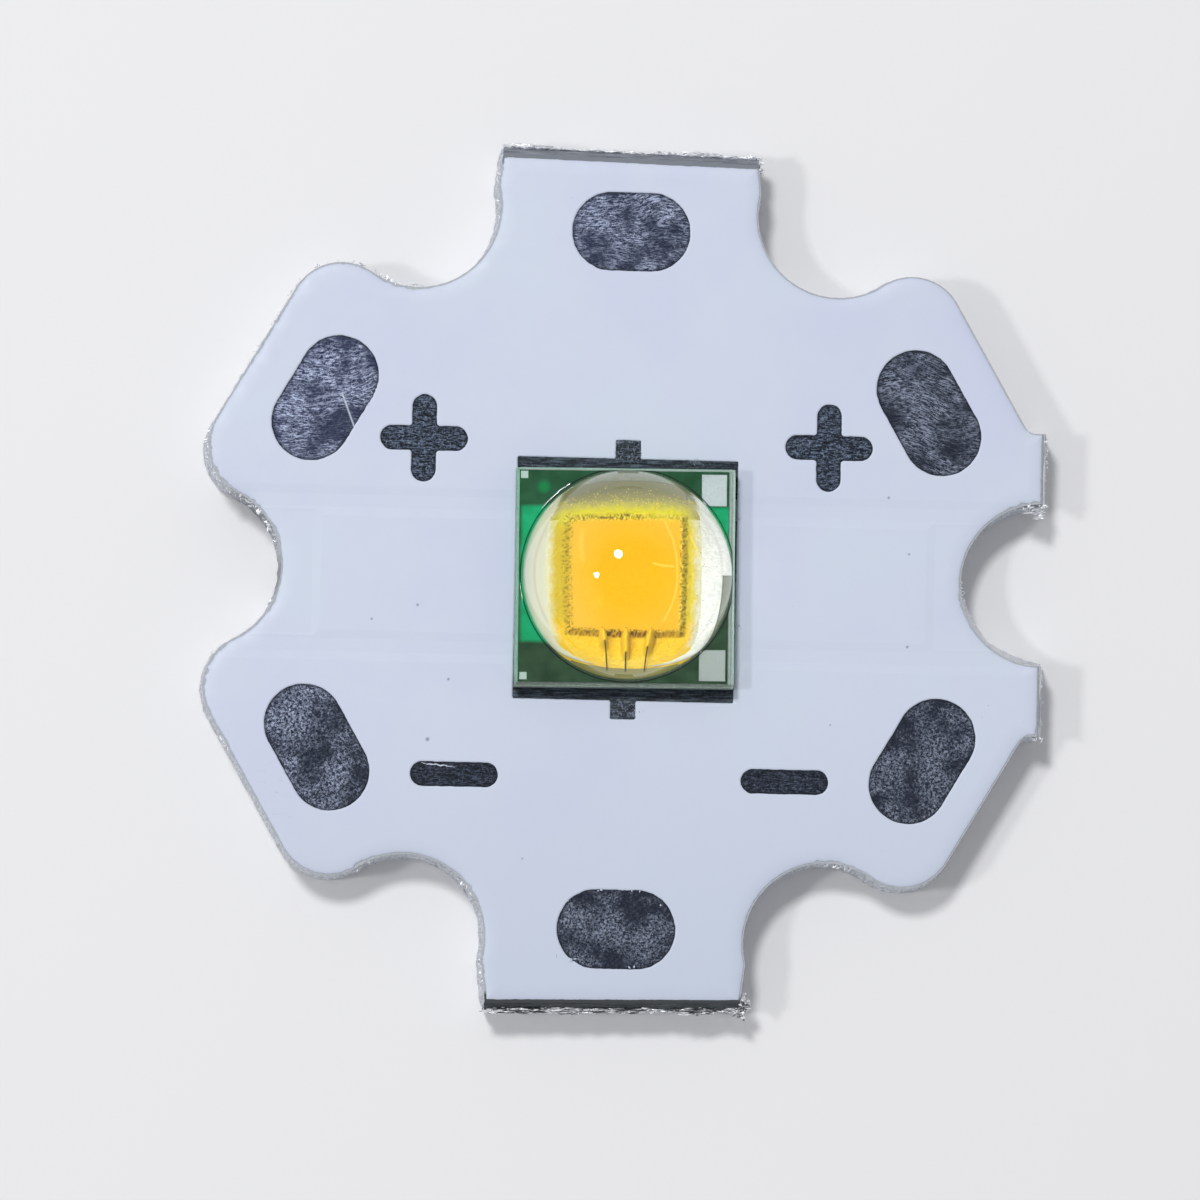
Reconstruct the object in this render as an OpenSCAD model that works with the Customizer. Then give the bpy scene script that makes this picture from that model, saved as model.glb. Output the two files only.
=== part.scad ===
// High power LED: a domed 5 mm emitter package soldered to a six-armed aluminium-core board.
// Millimetres, +Z up. The origin is on the underside of the board, on the emitter's axis.
// +X points right and +Y to the arm above the plus signs, seen from the lens side.

/* [Board outline] */
// Thickness of the aluminium core
core_t = 1.5; // [0.8:0.1:3]
// Distance from the middle of the outline to each of its six flats
flat_r = 9.92; // [9.8:0.01:10.1]
// Distance from the middle of the outline to the centre of each notch
notch_pitch_r = 9.75; // [9.65:0.01:9.9]
// Radius of the six screw notches
notch_r = 1.85; // [1.6:0.01:1.95]
// Radius of the corners between the flats and the notches
corner_r = 1.25; // [1.1:0.01:1.35]
// How far the punched outline sits off the printed pattern, along X
punch_shift_x = -0.05; // [-0.3:0.01:0.3]
// How far the punched outline sits off the printed pattern, along Y
punch_shift_y = 0.11; // [-0.3:0.01:0.3]

/* [Snapped tabs] */
// Half width of the upper and lower tabs where they leave their arms
wide_tab_root = 3.08; // [3.04:0.01:3.2]
// Half width of the upper and lower tabs at their score lines
wide_tab_tip = 2.9; // [2.7:0.01:3]
// Distance from the emitter's axis to the upper and lower score lines
wide_score_r = 9.96; // [9.9:0.01:10.1]
// Depth of the upper and lower score grooves, on each face
wide_score_depth = 0.4; // [0.2:0.05:0.6]
// Turn of the upper score line
upper_score_tilt = -1.3; // [-2:0.1:2]
// Turn of the lower score line
lower_score_tilt = 1.1; // [-2:0.1:2]
// Distance from the middle of the outline up to the far side of each right-hand tab
side_tab_reach = 3.55; // [3.3:0.05:3.8]
// Distance from the emitter's axis to the right-hand score line
side_score_r = 9.76; // [9.7:0.01:9.9]
// Depth of the right-hand score grooves, on each face
side_score_depth = 0.22; // [0.1:0.02:0.4]
// Angle between a groove's wall and the vertical
score_wall_angle = 30; // [15:1:40]

/* [Board layers] */
// Thickness of the insulating layer
dielectric_t = 0.075; // [0.05:0.005:0.15]
// Thickness of the copper
copper_t = 0.035; // [0.035:0.005:0.105]
// Thickness of the white mask
mask_t = 0.025; // [0.015:0.005:0.04]
// How far the white mask stops short of the punched edge
mask_inset = 0.07; // [0.02:0.01:0.15]
// How far the copper stops short of the punched edge
copper_inset = 0.45; // [0.3:0.05:0.6]
// Half height of the middle copper band under the emitter
thermal_half_h = 1.42; // [1.3:0.01:1.5]
// Half width of the middle copper band
thermal_half_w = 7.1; // [6:0.05:7.2]
// Distance from the X axis to the upper and lower copper islands
island_start = 1.92; // [1.8:0.01:2]

/* [Windows in the white mask] */
// Distance from the axis to the centre of each oblong solder pad
pad_pitch_r = 8.08; // [7.9:0.01:8.2]
// Length of the four pads on the slanted arms
slant_pad_l = 3.08; // [2.6:0.02:3.3]
// Length of the upper and lower pads
straight_pad_l = 2.74; // [2.4:0.02:3]
// Width of all six pads
pad_w = 1.83; // [1.5:0.01:1.9]
// Span of the plus and minus signs
sign_span = 2.03; // [1.6:0.01:2.2]
// Width of the strokes of the signs
sign_w = 0.57; // [0.4:0.01:0.7]
// Height of the opening under the emitter
land_window_h = 5.6; // [5.3:0.02:5.8]
// Width of the opening under the emitter
land_window_w = 5.1; // [4.9:0.02:5.3]
// How far that opening sits off the axis, along X
land_window_x = 0.04; // [-0.1:0.01:0.1]
// Width of the small tab at the top and bottom of that opening
land_tab_w = 0.58; // [0.4:0.01:0.8]
// Distance from the X axis to the end of that tab
land_tab_reach = 3.23; // [3:0.01:3.4]

/* [Emitter package] */
// Side of the square package
package_w = 5.05; // [4.9:0.01:5.2]
// Turn of the package on the board
package_turn = 0.7; // [-2:0.1:2]
// Thickness of the solder under the package
solder_t = 0.05; // [0.03:0.01:0.1]
// Thickness of the wetted solder film beside the package
solder_film_t = 0.02; // [0.01:0.005:0.025]
// Thickness of the lands under the package
land_t = 0.03; // [0.02:0.005:0.05]
// Thickness of the ceramic substrate
substrate_t = 0.55; // [0.4:0.05:0.8]
// Thickness of the metal on top of the substrate
metal_t = 0.03; // [0.02:0.005:0.05]
// Thickness of the green resist over that metal
resist_t = 0.02; // [0.015:0.005:0.04]
// Radius of the round opening in the green resist
resist_hole_r = 2.25; // [2.15:0.01:2.28]
// Thickness of the silicone flange over the substrate
flange_t = 0.14; // [0.1:0.01:0.3]
// Radius of the silicone dome
dome_r = 2.415; // [2.3:0.005:2.44]
// How far the dome sits off the middle of the package, along X
dome_x = 0.05; // [-0.07:0.01:0.07]
// How far the dome sits off the middle of the package, along Y
dome_y = 0.06; // [-0.07:0.01:0.07]
// Height of the dome's centre above the substrate
dome_centre_z = 0.1; // [0.05:0.01:0.3]

/* [Die, phosphor and wires] */
// Side of the square die
die_w = 1.91; // [1.6:0.01:1.95]
// Thickness of the die
die_t = 0.14; // [0.1:0.01:0.2]
// Thickness of the solder under the die
die_attach_t = 0.02; // [0.01:0.005:0.03]
// Thickness of the phosphor over the die
phosphor_cap_t = 0.06; // [0.04:0.01:0.1]
// Thickness of the phosphor spread on the metal round the die
phosphor_skirt_t = 0.035; // [0.02:0.005:0.06]
// Diameter of the bond wires
wire_d = 0.036; // [0.025:0.001:0.05]

/* [Hidden] */
$fn = 96;
past = 1;
far = 14;
// Round corners and ends stand this much proud of the straight sides that they meet
swell = 0.002;

// Heights of the board's layers
dielectric_top = core_t + dielectric_t;
copper_top = dielectric_top + copper_t;
edge_top = dielectric_top + mask_t;
// Width of the mask's cover on the copper's side walls, and thickness of the metal finish
mask_wall = 0.04;
finish_t = 0.008;
// How far the copper stops short of the score lines
copper_to_wide_score = 0.6;
copper_to_side_score = 0.4;

// Heights in the package, counted from the top of its substrate
land_bottom = copper_top + solder_t;
substrate_bottom = land_bottom + land_t;
substrate_top = substrate_bottom + substrate_t;
die_bottom = metal_t + die_attach_t;
die_top = die_bottom + die_t;

// One arm of the outline lies along +X, with a notch centre 30 degrees to each side of it
arm_notch = notch_pitch_r * [cos(30), sin(30)];
corner_x = flat_r - corner_r;
corner_y = arm_notch.y - sqrt(pow(notch_r + corner_r, 2) - pow(arm_notch.x - corner_x, 2));
wide_tab_shoulder_x = 9;
tab_overrun_x = wide_score_r + 0.5;
side_tab_root_y = notch_r - 0.6;

// Places of the signs
plus_at = [4.69, 3.17];
minus_at = [3.82, -4.59];

// Package lands, as [lowest y, highest y], and their half width
land_half_w = 2.39;
anode_land_y = [1.93, 2.41];
cathode_land_y = [-2.41, -1.93];
thermal_land_y = [-1.39, 1.39];
solder_colour = [0.20, 0.22, 0.28];

// Metal on top of the substrate, as rectangles [left, bottom, right, top]
die_pad_body = [-2.4, -1.56, 1.7, 1.67];
die_pad_wing = [1.6, 0.08, 2.35, 1.7];
die_pad_corner = [1.73, 1.6, 2.35, 2.43];
wire_pad_body = [-1.05, -2.1, 1.05, -1.61];
lower_test_pad = [1.7, -2.38, 2.35, -1.62];
small_marks = [[-2.34, 2.36], [-2.33, -2.28]];
small_mark_w = 0.17;
alignment_notches = [[-1.09, 1.31], [1.15, 1.39]];
alignment_notch_w = 0.18;

// The green resist and its square openings, as rectangles too
resist_area = [-2.45, -2.42, 2.38, 2.47];
upper_window = [1.75, 1.68, 2.33, 2.41];
lower_window = [1.72, -2.36, 2.33, -1.64];

// Plated holes through the substrate: one under the die pad's corner, one on the round dot,
// one under the lower test pad and three under the wire pad
dot_at = [-1.89, 2.08];
dot_r = 0.14;
via_r = 0.1;
vias = [[2.04, 2.1], dot_at, [2.04, -2.05], [-0.7, -1.98], [0, -1.98], [0.7, -1.98]];

// Die, phosphor and wires
die_at = [0.01, 0.05];
die_attach_w = die_w + 0.04;
phosphor_side = 0.05;
phosphor_area = [-1.26, -1.63, 1.25, 1.2];
finger_w = 0.15;
finger_end_y = -1.42;
finger_crest_y = -1.04;
finger_rise = 0.05;
finger_crest_rise = 0.07;
wire_start_x = [-0.38, 0.03, 0.47];
wire_end_x = [-0.31, 0.03, 0.38];
wire_start_y = -0.84;
wire_end_y = -1.71;
wire_rise = 0.2;
wire_lean = 0.06;
wire_glide = 0.5;
wire_rings = 14;
wire_sides = 8;
ball_r = 0.042;
ball_t = 0.022;
ball_overlap = 0.004;
stitch_l = 0.1;
stitch_w = 0.058;
stitch_t = 0.014;

// Flat shapes

module rect(r) {
    translate([r[0], r[1]])
        square([r[2] - r[0], r[3] - r[1]]);
}

module oblong(l, w) {
    square([l - w, w], center = true);
    for (side = [-1, 1])
        translate([side * (l - w) / 2, 0])
            circle(w / 2 + swell);
}

function turned(p, a) = [p.x * cos(a) - p.y * sin(a), p.x * sin(a) + p.y * cos(a)];

// Points of the outline for an arm that lies along +X, set in by the given distance.
// Those of a rounded corner run from the corner's centre to the flat.
function corner_points(inset) = [[corner_x, corner_y], [flat_r - inset, corner_y]];

function below(points) = [for (p = points) [p.x, -p.y]];

function reversed(points) = [for (k = [len(points) - 1:-1:0]) points[k]];

// A wide tab from its right side to its left one; both its roots lie inside the notches
function wide_tab_points(inset) =
    let (
        left = [
            [tab_overrun_x, wide_tab_tip - inset],
            [wide_tab_shoulder_x, wide_tab_root - inset],
            [arm_notch.x, wide_tab_root - inset]
        ]
    )
    concat(reversed(below(left)), left);

// The upper right-hand tab, in the outline's own frame, from the right notch to the flat
function side_tab_points(inset) =
    let (reach = side_tab_reach - inset)
    [
        [tab_overrun_x, side_tab_root_y],
        [tab_overrun_x, reach],
        [(flat_r - inset - reach * sin(30)) / cos(30), reach]
    ];

function arm(points, a) = [for (p = concat(points, [arm_notch])) turned(p, a)];

function outline_points(inset) =
    let (
        left = reversed(corner_points(inset)),
        right = below(corner_points(inset))
    )
    concat(
        side_tab_points(inset), arm(left, 30),
        arm(wide_tab_points(inset), 90),
        arm(concat(right, left), 150),
        arm(concat(right, left), 210),
        arm(wide_tab_points(inset), 270),
        [for (p = right) turned(p, 330)], reversed(below(side_tab_points(inset)))
    );

// The arms' round corners, as [direction of the arm, side of it]
rounded = [[30, 1], [150, -1], [150, 1], [210, -1], [210, 1], [330, -1]];

// The punched outline before the board is snapped from its panel
module punched_outline(inset = 0) {
    difference() {
        union() {
            polygon(outline_points(inset));
            for (c = rounded)
                rotate(c[0])
                    translate([corner_x, c[1] * corner_y])
                        circle(corner_r - inset + swell);
        }
        for (k = [0:5])
            rotate(60 * k)
                translate([notch_pitch_r, 0])
                    circle(notch_r + inset);
    }
}

module outline(inset = 0) {
    translate([punch_shift_x, punch_shift_y])
        punched_outline(inset);
}

// What is cut away beyond one snapped score line, with a V groove in each face
module score_cut(r, depth, turn) {
    groove = depth * tan(score_wall_angle);
    rotate([0, 0, turn])
        translate([0, r, 0])
            rotate([90, 0, 90])
                linear_extrude(far, center = true)
                    polygon([
                        [-groove, -past], [-groove, 0], [0, depth], [0, edge_top - depth],
                        [-groove, edge_top], [-groove, edge_top + past],
                        [past, edge_top + past], [past, -past]
                    ]);
}

module all_score_cuts() {
    score_cut(wide_score_r, wide_score_depth, upper_score_tilt);
    score_cut(wide_score_r, wide_score_depth, 180 + lower_score_tilt);
    score_cut(side_score_r, side_score_depth, -90);
}

// Copper, grown by the given distance

module island_shape(side, grow = 0) {
    start = island_start - grow;
    reach = wide_score_r - copper_to_wide_score + grow;
    intersection() {
        outline(copper_inset - grow);
        translate([-far, side > 0 ? start : -reach])
            square([far + side_score_r - copper_to_side_score + grow, reach - start]);
    }
}

module thermal_shape(grow = 0) {
    square([2 * (thermal_half_w + grow), 2 * (thermal_half_h + grow)], center = true);
}

// Windows in the white mask

module solder_pads() {
    for (k = [0:5])
        rotate(30 + 60 * k)
            translate([pad_pitch_r, 0])
                rotate(90)
                    oblong((k == 1 || k == 4) ? straight_pad_l : slant_pad_l, pad_w);
}

module signs() {
    for (side = [-1, 1]) {
        translate([side * plus_at.x, plus_at.y]) {
            oblong(sign_span, sign_w);
            rotate(90)
                oblong(sign_span, sign_w);
        }
        translate([side * minus_at.x, minus_at.y])
            oblong(sign_span, sign_w);
    }
}

module land_window() {
    translate([land_window_x, 0]) {
        square([land_window_w, land_window_h], center = true);
        square([land_tab_w, 2 * land_tab_reach], center = true);
    }
}

// Puts a part of the package in its place on the board
module on_package(z) {
    translate([0, 0, z])
        rotate([0, 0, package_turn])
            children();
}

// The board

module base_plate() {
    color([0.66, 0.68, 0.70])
        difference() {
            linear_extrude(core_t)
                outline();
            all_score_cuts();
        }
}

module dielectric_layer() {
    color([0.80, 0.78, 0.66])
        difference() {
            translate([0, 0, core_t])
                linear_extrude(dielectric_t)
                    outline(mask_inset / 2);
            all_score_cuts();
        }
}

module copper_piece() {
    color([0.76, 0.48, 0.30])
        translate([0, 0, dielectric_top])
            linear_extrude(copper_t)
                children();
}

module anode_copper() {
    copper_piece()
        island_shape(1);
}

module thermal_copper() {
    copper_piece()
        thermal_shape();
}

module cathode_copper() {
    copper_piece()
        island_shape(-1);
}

module solder_mask() {
    color([0.86, 0.88, 0.92])
        difference() {
            union() {
                translate([0, 0, dielectric_top])
                    linear_extrude(mask_t)
                        outline(mask_inset);
                translate([0, 0, dielectric_top])
                    linear_extrude(copper_t + mask_t) {
                        island_shape(1, mask_wall);
                        island_shape(-1, mask_wall);
                        thermal_shape(mask_wall);
                    }
            }
            anode_copper();
            cathode_copper();
            thermal_copper();
            translate([0, 0, dielectric_top - past])
                linear_extrude(2 * past) {
                    solder_pads();
                    signs();
                    land_window();
                }
            all_score_cuts();
        }
}

module pad_finish() {
    color([0.36, 0.39, 0.45])
        translate([0, 0, copper_top])
            linear_extrude(finish_t) {
                solder_pads();
                signs();
            }
}

// Solder between the board and the package

module land_shape(y) {
    rect([-land_half_w, y[0], land_half_w, y[1]]);
}

module side_solder(side, y) {
    color(solder_colour) {
        translate([0, 0, copper_top])
            linear_extrude(solder_film_t)
                intersection() {
                    land_window();
                    translate([-far, side > 0 ? island_start : -far])
                        square([2 * far, far - island_start]);
                }
        on_package(copper_top)
            linear_extrude(solder_t)
                land_shape(y);
    }
}

module anode_solder() {
    side_solder(1, anode_land_y);
}

module cathode_solder() {
    side_solder(-1, cathode_land_y);
}

module thermal_solder() {
    color(solder_colour)
        on_package(copper_top)
            linear_extrude(solder_t)
                land_shape(thermal_land_y);
}

// The package

module land(y) {
    color([0.80, 0.78, 0.70])
        on_package(land_bottom)
            linear_extrude(land_t)
                land_shape(y);
}

module anode_land() {
    land(anode_land_y);
}

module thermal_land() {
    land(thermal_land_y);
}

module cathode_land() {
    land(cathode_land_y);
}

module led_substrate() {
    color([0.80, 0.84, 0.82])
        on_package(substrate_bottom)
            linear_extrude(substrate_t)
                difference() {
                    square(package_w, center = true);
                    via_circles();
                }
}

module via_circles() {
    for (at = vias)
        translate(at)
            circle(via_r, $fn = 24);
}

module package_vias() {
    color([0.80, 0.66, 0.42])
        on_package(substrate_bottom)
            linear_extrude(substrate_t)
                via_circles();
}

// Metal, resist, die, phosphor and wires stand on the substrate, in its own frame

module die_pad_solid() {
    linear_extrude(metal_t)
        difference() {
            union() {
                rect(die_pad_body);
                rect(die_pad_wing);
                rect(die_pad_corner);
            }
            for (at = alignment_notches)
                translate(at)
                    square(alignment_notch_w, center = true);
        }
}

module wire_pad_solid() {
    linear_extrude(metal_t)
        rect(wire_pad_body);
}

module small_mark_shapes() {
    for (at = small_marks)
        translate(at)
            square(small_mark_w, center = true);
}

module test_pad_solids() {
    linear_extrude(metal_t) {
        rect(lower_test_pad);
        small_mark_shapes();
        translate(dot_at)
            circle(dot_r, $fn = 24);
    }
}

module resist_solid() {
    difference() {
        linear_extrude(metal_t + resist_t)
            difference() {
                rect(resist_area);
                translate([dome_x, dome_y])
                    circle(resist_hole_r);
                rect(upper_window);
                rect(lower_window);
                small_mark_shapes();
            }
        die_pad_solid();
        wire_pad_solid();
        test_pad_solids();
    }
}

module die_attach_solid() {
    translate([die_at.x, die_at.y, metal_t + die_attach_t / 2])
        cube([die_attach_w, die_attach_w, die_attach_t], center = true);
}

module die_solid() {
    translate([die_at.x, die_at.y, die_bottom + die_t / 2])
        cube([die_w, die_w, die_t], center = true);
}

// A wire leaves its ball almost upright, arches over the die's edge and slopes to the wire pad
function wire_point(i, t) =
    let (
        z0 = die_top + ball_t,
        z1 = metal_t + wire_d / 2,
        a = [wire_start_x[i], wire_start_y, z0],
        b = [wire_start_x[i], wire_start_y - wire_lean, z0 + wire_rise],
        c = [wire_end_x[i], wire_end_y + wire_glide, z0 + wire_rise / 2],
        d = [wire_end_x[i], wire_end_y, z1],
        s = 1 - t
    )
    s * s * s * a + 3 * s * s * t * b + 3 * s * t * t * c + t * t * t * d;

function wire_ring(i, k) =
    let (
        t = k / wire_rings,
        step = 0.01,
        along = wire_point(i, min(t + step, 1)) - wire_point(i, max(t - step, 0)),
        slope = [0, along.y, along.z] / norm([along.y, along.z]),
        up = [0, -slope.z, slope.y]
    )
    [
        for (j = [0:wire_sides - 1])
            wire_point(i, t)
                + wire_d / 2 * (cos(360 * j / wire_sides) * [1, 0, 0]
                + sin(360 * j / wire_sides) * up)
    ];

module wire_solid(i) {
    points = [for (k = [0:wire_rings], p = wire_ring(i, k)) p];
    walls = [
        for (k = [0:wire_rings - 1], j = [0:wire_sides - 1])
            let (next = (j + 1) % wire_sides, low = k * wire_sides, high = low + wire_sides)
            [low + j, high + j, high + next, low + next]
    ];
    first_cap = [[for (j = [0:wire_sides - 1]) j]];
    last_cap = [[for (j = [wire_sides - 1:-1:0]) wire_rings * wire_sides + j]];
    polyhedron(points, concat(walls, first_cap, last_cap));
    translate([wire_start_x[i], wire_start_y, die_top])
        cylinder(r = ball_r, h = ball_t + ball_overlap, $fn = 24);
    translate([wire_end_x[i], wire_end_y, metal_t + stitch_t / 2])
        cube([stitch_w, stitch_l, stitch_t], center = true);
}

// The phosphor is a thin skirt on the metal, a cap over the die and a finger along each wire
module phosphor_solid() {
    cap_w = die_w + 2 * phosphor_side;
    cap_top = die_top + phosphor_cap_t;
    skirt_top = metal_t + phosphor_skirt_t;
    difference() {
        union() {
            linear_extrude(skirt_top)
                rect(phosphor_area);
            translate([die_at.x, die_at.y, cap_top / 2])
                cube([cap_w, cap_w, cap_top], center = true);
            for (i = [0:2])
                translate([wire_start_x[i] - finger_w / 2, 0, 0])
                    rotate([90, 0, 90])
                        linear_extrude(finger_w)
                            polygon([
                                [wire_start_y, metal_t],
                                [wire_start_y, cap_top + finger_rise],
                                [finger_crest_y, cap_top + finger_crest_rise],
                                [finger_end_y, skirt_top],
                                [finger_end_y, metal_t]
                            ]);
        }
        die_pad_solid();
        wire_pad_solid();
        die_attach_solid();
        die_solid();
        for (i = [0:2])
            wire_solid(i);
    }
}

module lens_body() {
    linear_extrude(flange_t)
        square(package_w, center = true);
    intersection() {
        translate([dome_x, dome_y, dome_centre_z])
            sphere(dome_r);
        translate([0, 0, flange_t / 2 + dome_r])
            cube([2 * far, 2 * far, 2 * dome_r], center = true);
    }
}

module die_pad() {
    color([0.84, 0.85, 0.84])
        on_package(substrate_top)
            die_pad_solid();
}

module wire_pad() {
    color([0.84, 0.85, 0.84])
        on_package(substrate_top)
            wire_pad_solid();
}

module test_pads() {
    color([0.76, 0.80, 0.80])
        on_package(substrate_top)
            test_pad_solids();
}

module green_resist() {
    color([0.10, 0.45, 0.29])
        on_package(substrate_top)
            resist_solid();
}

module die_attach() {
    color([0.60, 0.60, 0.62])
        on_package(substrate_top)
            die_attach_solid();
}

module led_die() {
    color([0.35, 0.33, 0.30])
        on_package(substrate_top)
            die_solid();
}

module phosphor_layer() {
    color([1.0, 0.78, 0.18])
        on_package(substrate_top)
            phosphor_solid();
}

module bond_wire(i) {
    color([0.85, 0.68, 0.32])
        on_package(substrate_top)
            wire_solid(i);
}

module bond_wire_1() {
    bond_wire(0);
}

module bond_wire_2() {
    bond_wire(1);
}

module bond_wire_3() {
    bond_wire(2);
}

module silicone_lens() {
    color([0.93, 0.95, 0.95, 0.35])
        on_package(substrate_top)
            difference() {
                lens_body();
                die_pad_solid();
                wire_pad_solid();
                test_pad_solids();
                resist_solid();
                die_attach_solid();
                die_solid();
                phosphor_solid();
                for (i = [0:2])
                    wire_solid(i);
            }
}

base_plate();
dielectric_layer();
anode_copper();
thermal_copper();
cathode_copper();
solder_mask();
pad_finish();
anode_solder();
thermal_solder();
cathode_solder();
anode_land();
thermal_land();
cathode_land();
led_substrate();
package_vias();
die_pad();
wire_pad();
test_pads();
green_resist();
die_attach();
led_die();
phosphor_layer();
bond_wire_1();
bond_wire_2();
bond_wire_3();
silicone_lens();
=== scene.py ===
from math import asin, atan2, cos, degrees, exp, hypot, pi, radians, sin, sqrt, tan
from random import Random

import bpy
from mathutils import Matrix, Vector, noise
from mathutils.geometry import tessellate_polygon

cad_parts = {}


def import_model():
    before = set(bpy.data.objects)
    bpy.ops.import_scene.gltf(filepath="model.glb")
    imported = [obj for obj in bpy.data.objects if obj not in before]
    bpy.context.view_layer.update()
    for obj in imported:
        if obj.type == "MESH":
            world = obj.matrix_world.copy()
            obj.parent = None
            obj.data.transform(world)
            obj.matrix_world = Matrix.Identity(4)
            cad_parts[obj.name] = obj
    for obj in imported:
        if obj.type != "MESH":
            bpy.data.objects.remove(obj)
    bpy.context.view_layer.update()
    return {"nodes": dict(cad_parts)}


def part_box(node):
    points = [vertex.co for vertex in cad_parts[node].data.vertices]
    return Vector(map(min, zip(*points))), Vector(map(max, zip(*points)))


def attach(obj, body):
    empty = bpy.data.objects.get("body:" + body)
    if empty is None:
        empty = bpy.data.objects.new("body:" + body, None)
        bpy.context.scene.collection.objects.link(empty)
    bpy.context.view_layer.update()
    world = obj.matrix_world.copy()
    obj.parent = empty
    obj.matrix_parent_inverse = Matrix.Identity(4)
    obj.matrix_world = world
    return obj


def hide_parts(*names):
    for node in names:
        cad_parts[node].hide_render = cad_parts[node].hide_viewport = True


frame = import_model()

# Lengths below are millimetres unless a name says otherwise, and Blender works in metres
MM = 0.001

# The board's punched outline, as the CAD part has it
FLAT_R = 9.92
NOTCH_PITCH_R = 9.75
NOTCH_R = 1.85
CORNER_R = 1.25
PUNCH_SHIFT = (-0.05, 0.11)
TAB_ROOT = 3.08
TAB_TIP = 2.9
TAB_SHOULDER_X = 9.0
TAB_OVERRUN_X = 10.46
WIDE_SCORE_R = 9.96
WIDE_SCORE_DEPTH = 0.4
UPPER_SCORE_TILT = -1.3
LOWER_SCORE_TILT = 1.1
SIDE_TAB_REACH = 3.55
SIDE_TAB_FILLET_R = 0.3
SIDE_SCORE_R = 9.76
SIDE_SCORE_DEPTH = 0.22
SCORE_WALL_ANGLE = 30

# Windows in the white mask, as the CAD part has them
PAD_PITCH_R = 8.08
SLANT_PAD_L = 3.08
STRAIGHT_PAD_L = 2.74
PAD_W = 1.83
SIGN_SPAN = 2.03
SIGN_W = 0.57
PLUS_AT = (4.69, 3.17)
MINUS_AT = (3.82, -4.59)
LAND_WINDOW = (-2.51, -2.8, 2.59, 2.8)
LAND_TAB = (-0.25, 0.33, 3.23)

# Heights, read from the frame where a node gives them
CORE_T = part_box("base_plate")[1].z / MM
DIELECTRIC_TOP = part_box("dielectric_layer")[1].z / MM
MASK_T = 0.025
EDGE_TOP = DIELECTRIC_TOP + MASK_T
MASK_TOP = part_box("solder_mask")[1].z / MM
COPPER_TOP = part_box("anode_copper")[1].z / MM
FINISH_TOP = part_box("pad_finish")[1].z / MM
SUBSTRATE_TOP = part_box("led_substrate")[1].z / MM

# The package, in its own frame on top of its substrate
PACKAGE_TURN = 0.7
PACKAGE_W = 5.05
FLANGE_T = 0.14
DOME_R = 2.415
FILLET_R = 0.1
FOOT_Z = SUBSTRATE_TOP + FLANGE_T
DOME_AT = (0.05, 0.06)
DOME_CENTRE_Z = 0.1
METAL_T = 0.03
DIE_W = 1.91
DIE_AT = (0.01, 0.05)
DIE_TOP = 0.19
WIRE_START_X = (-0.38, 0.03, 0.47)
WIRE_END_X = (-0.31, 0.03, 0.38)
WIRE_EMERGES_Y = (-1.24, -1.44, -1.34)
WIRE_D = 0.025
WIRE_STEPS = 60
WIRE_SIDES = 8
PHOSPHOR_AREA = (-1.42, -1.68, 1.36, 1.36)
PHOSPHOR_STEP = 0.0125
GRAIN_COUNT = 520
OUTLINE_STEP = 0.05
RIM_STEP = 0.04

# Where punching and snapping left the edge rough: place, reach and depth
WORN = [
    (-9.45, 2.6, 1.1, 0.07), (-8.65, 1.5, 0.5, 0.06), (-8.1, 0.85, 0.4, 0.07), (-8.0, -0.8, 0.25, 0.06),
    (-9.45, -2.4, 1.0, 0.07), (-9.25, -4.0, 0.3, 0.05), (-8.4, 5.6, 1.7, 0.03), (-6.5, 7.3, 0.9, 0.04),
    (-5.2, 6.75, 0.7, 0.06), (-5.9, -6.7, 0.5, 0.06), (-3.55, -7.2, 0.6, 0.05), (5.0, -6.5, 0.6, 0.07),
    (9.3, 1.8, 0.6, 0.07), (7.75, -0.3, 0.8, 0.05), (9.7, -3.5, 0.4, 0.05), (-3.05, 9.0, 1.0, 0.04),
    (-3.1, -9.2, 0.6, 0.05),
]

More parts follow.
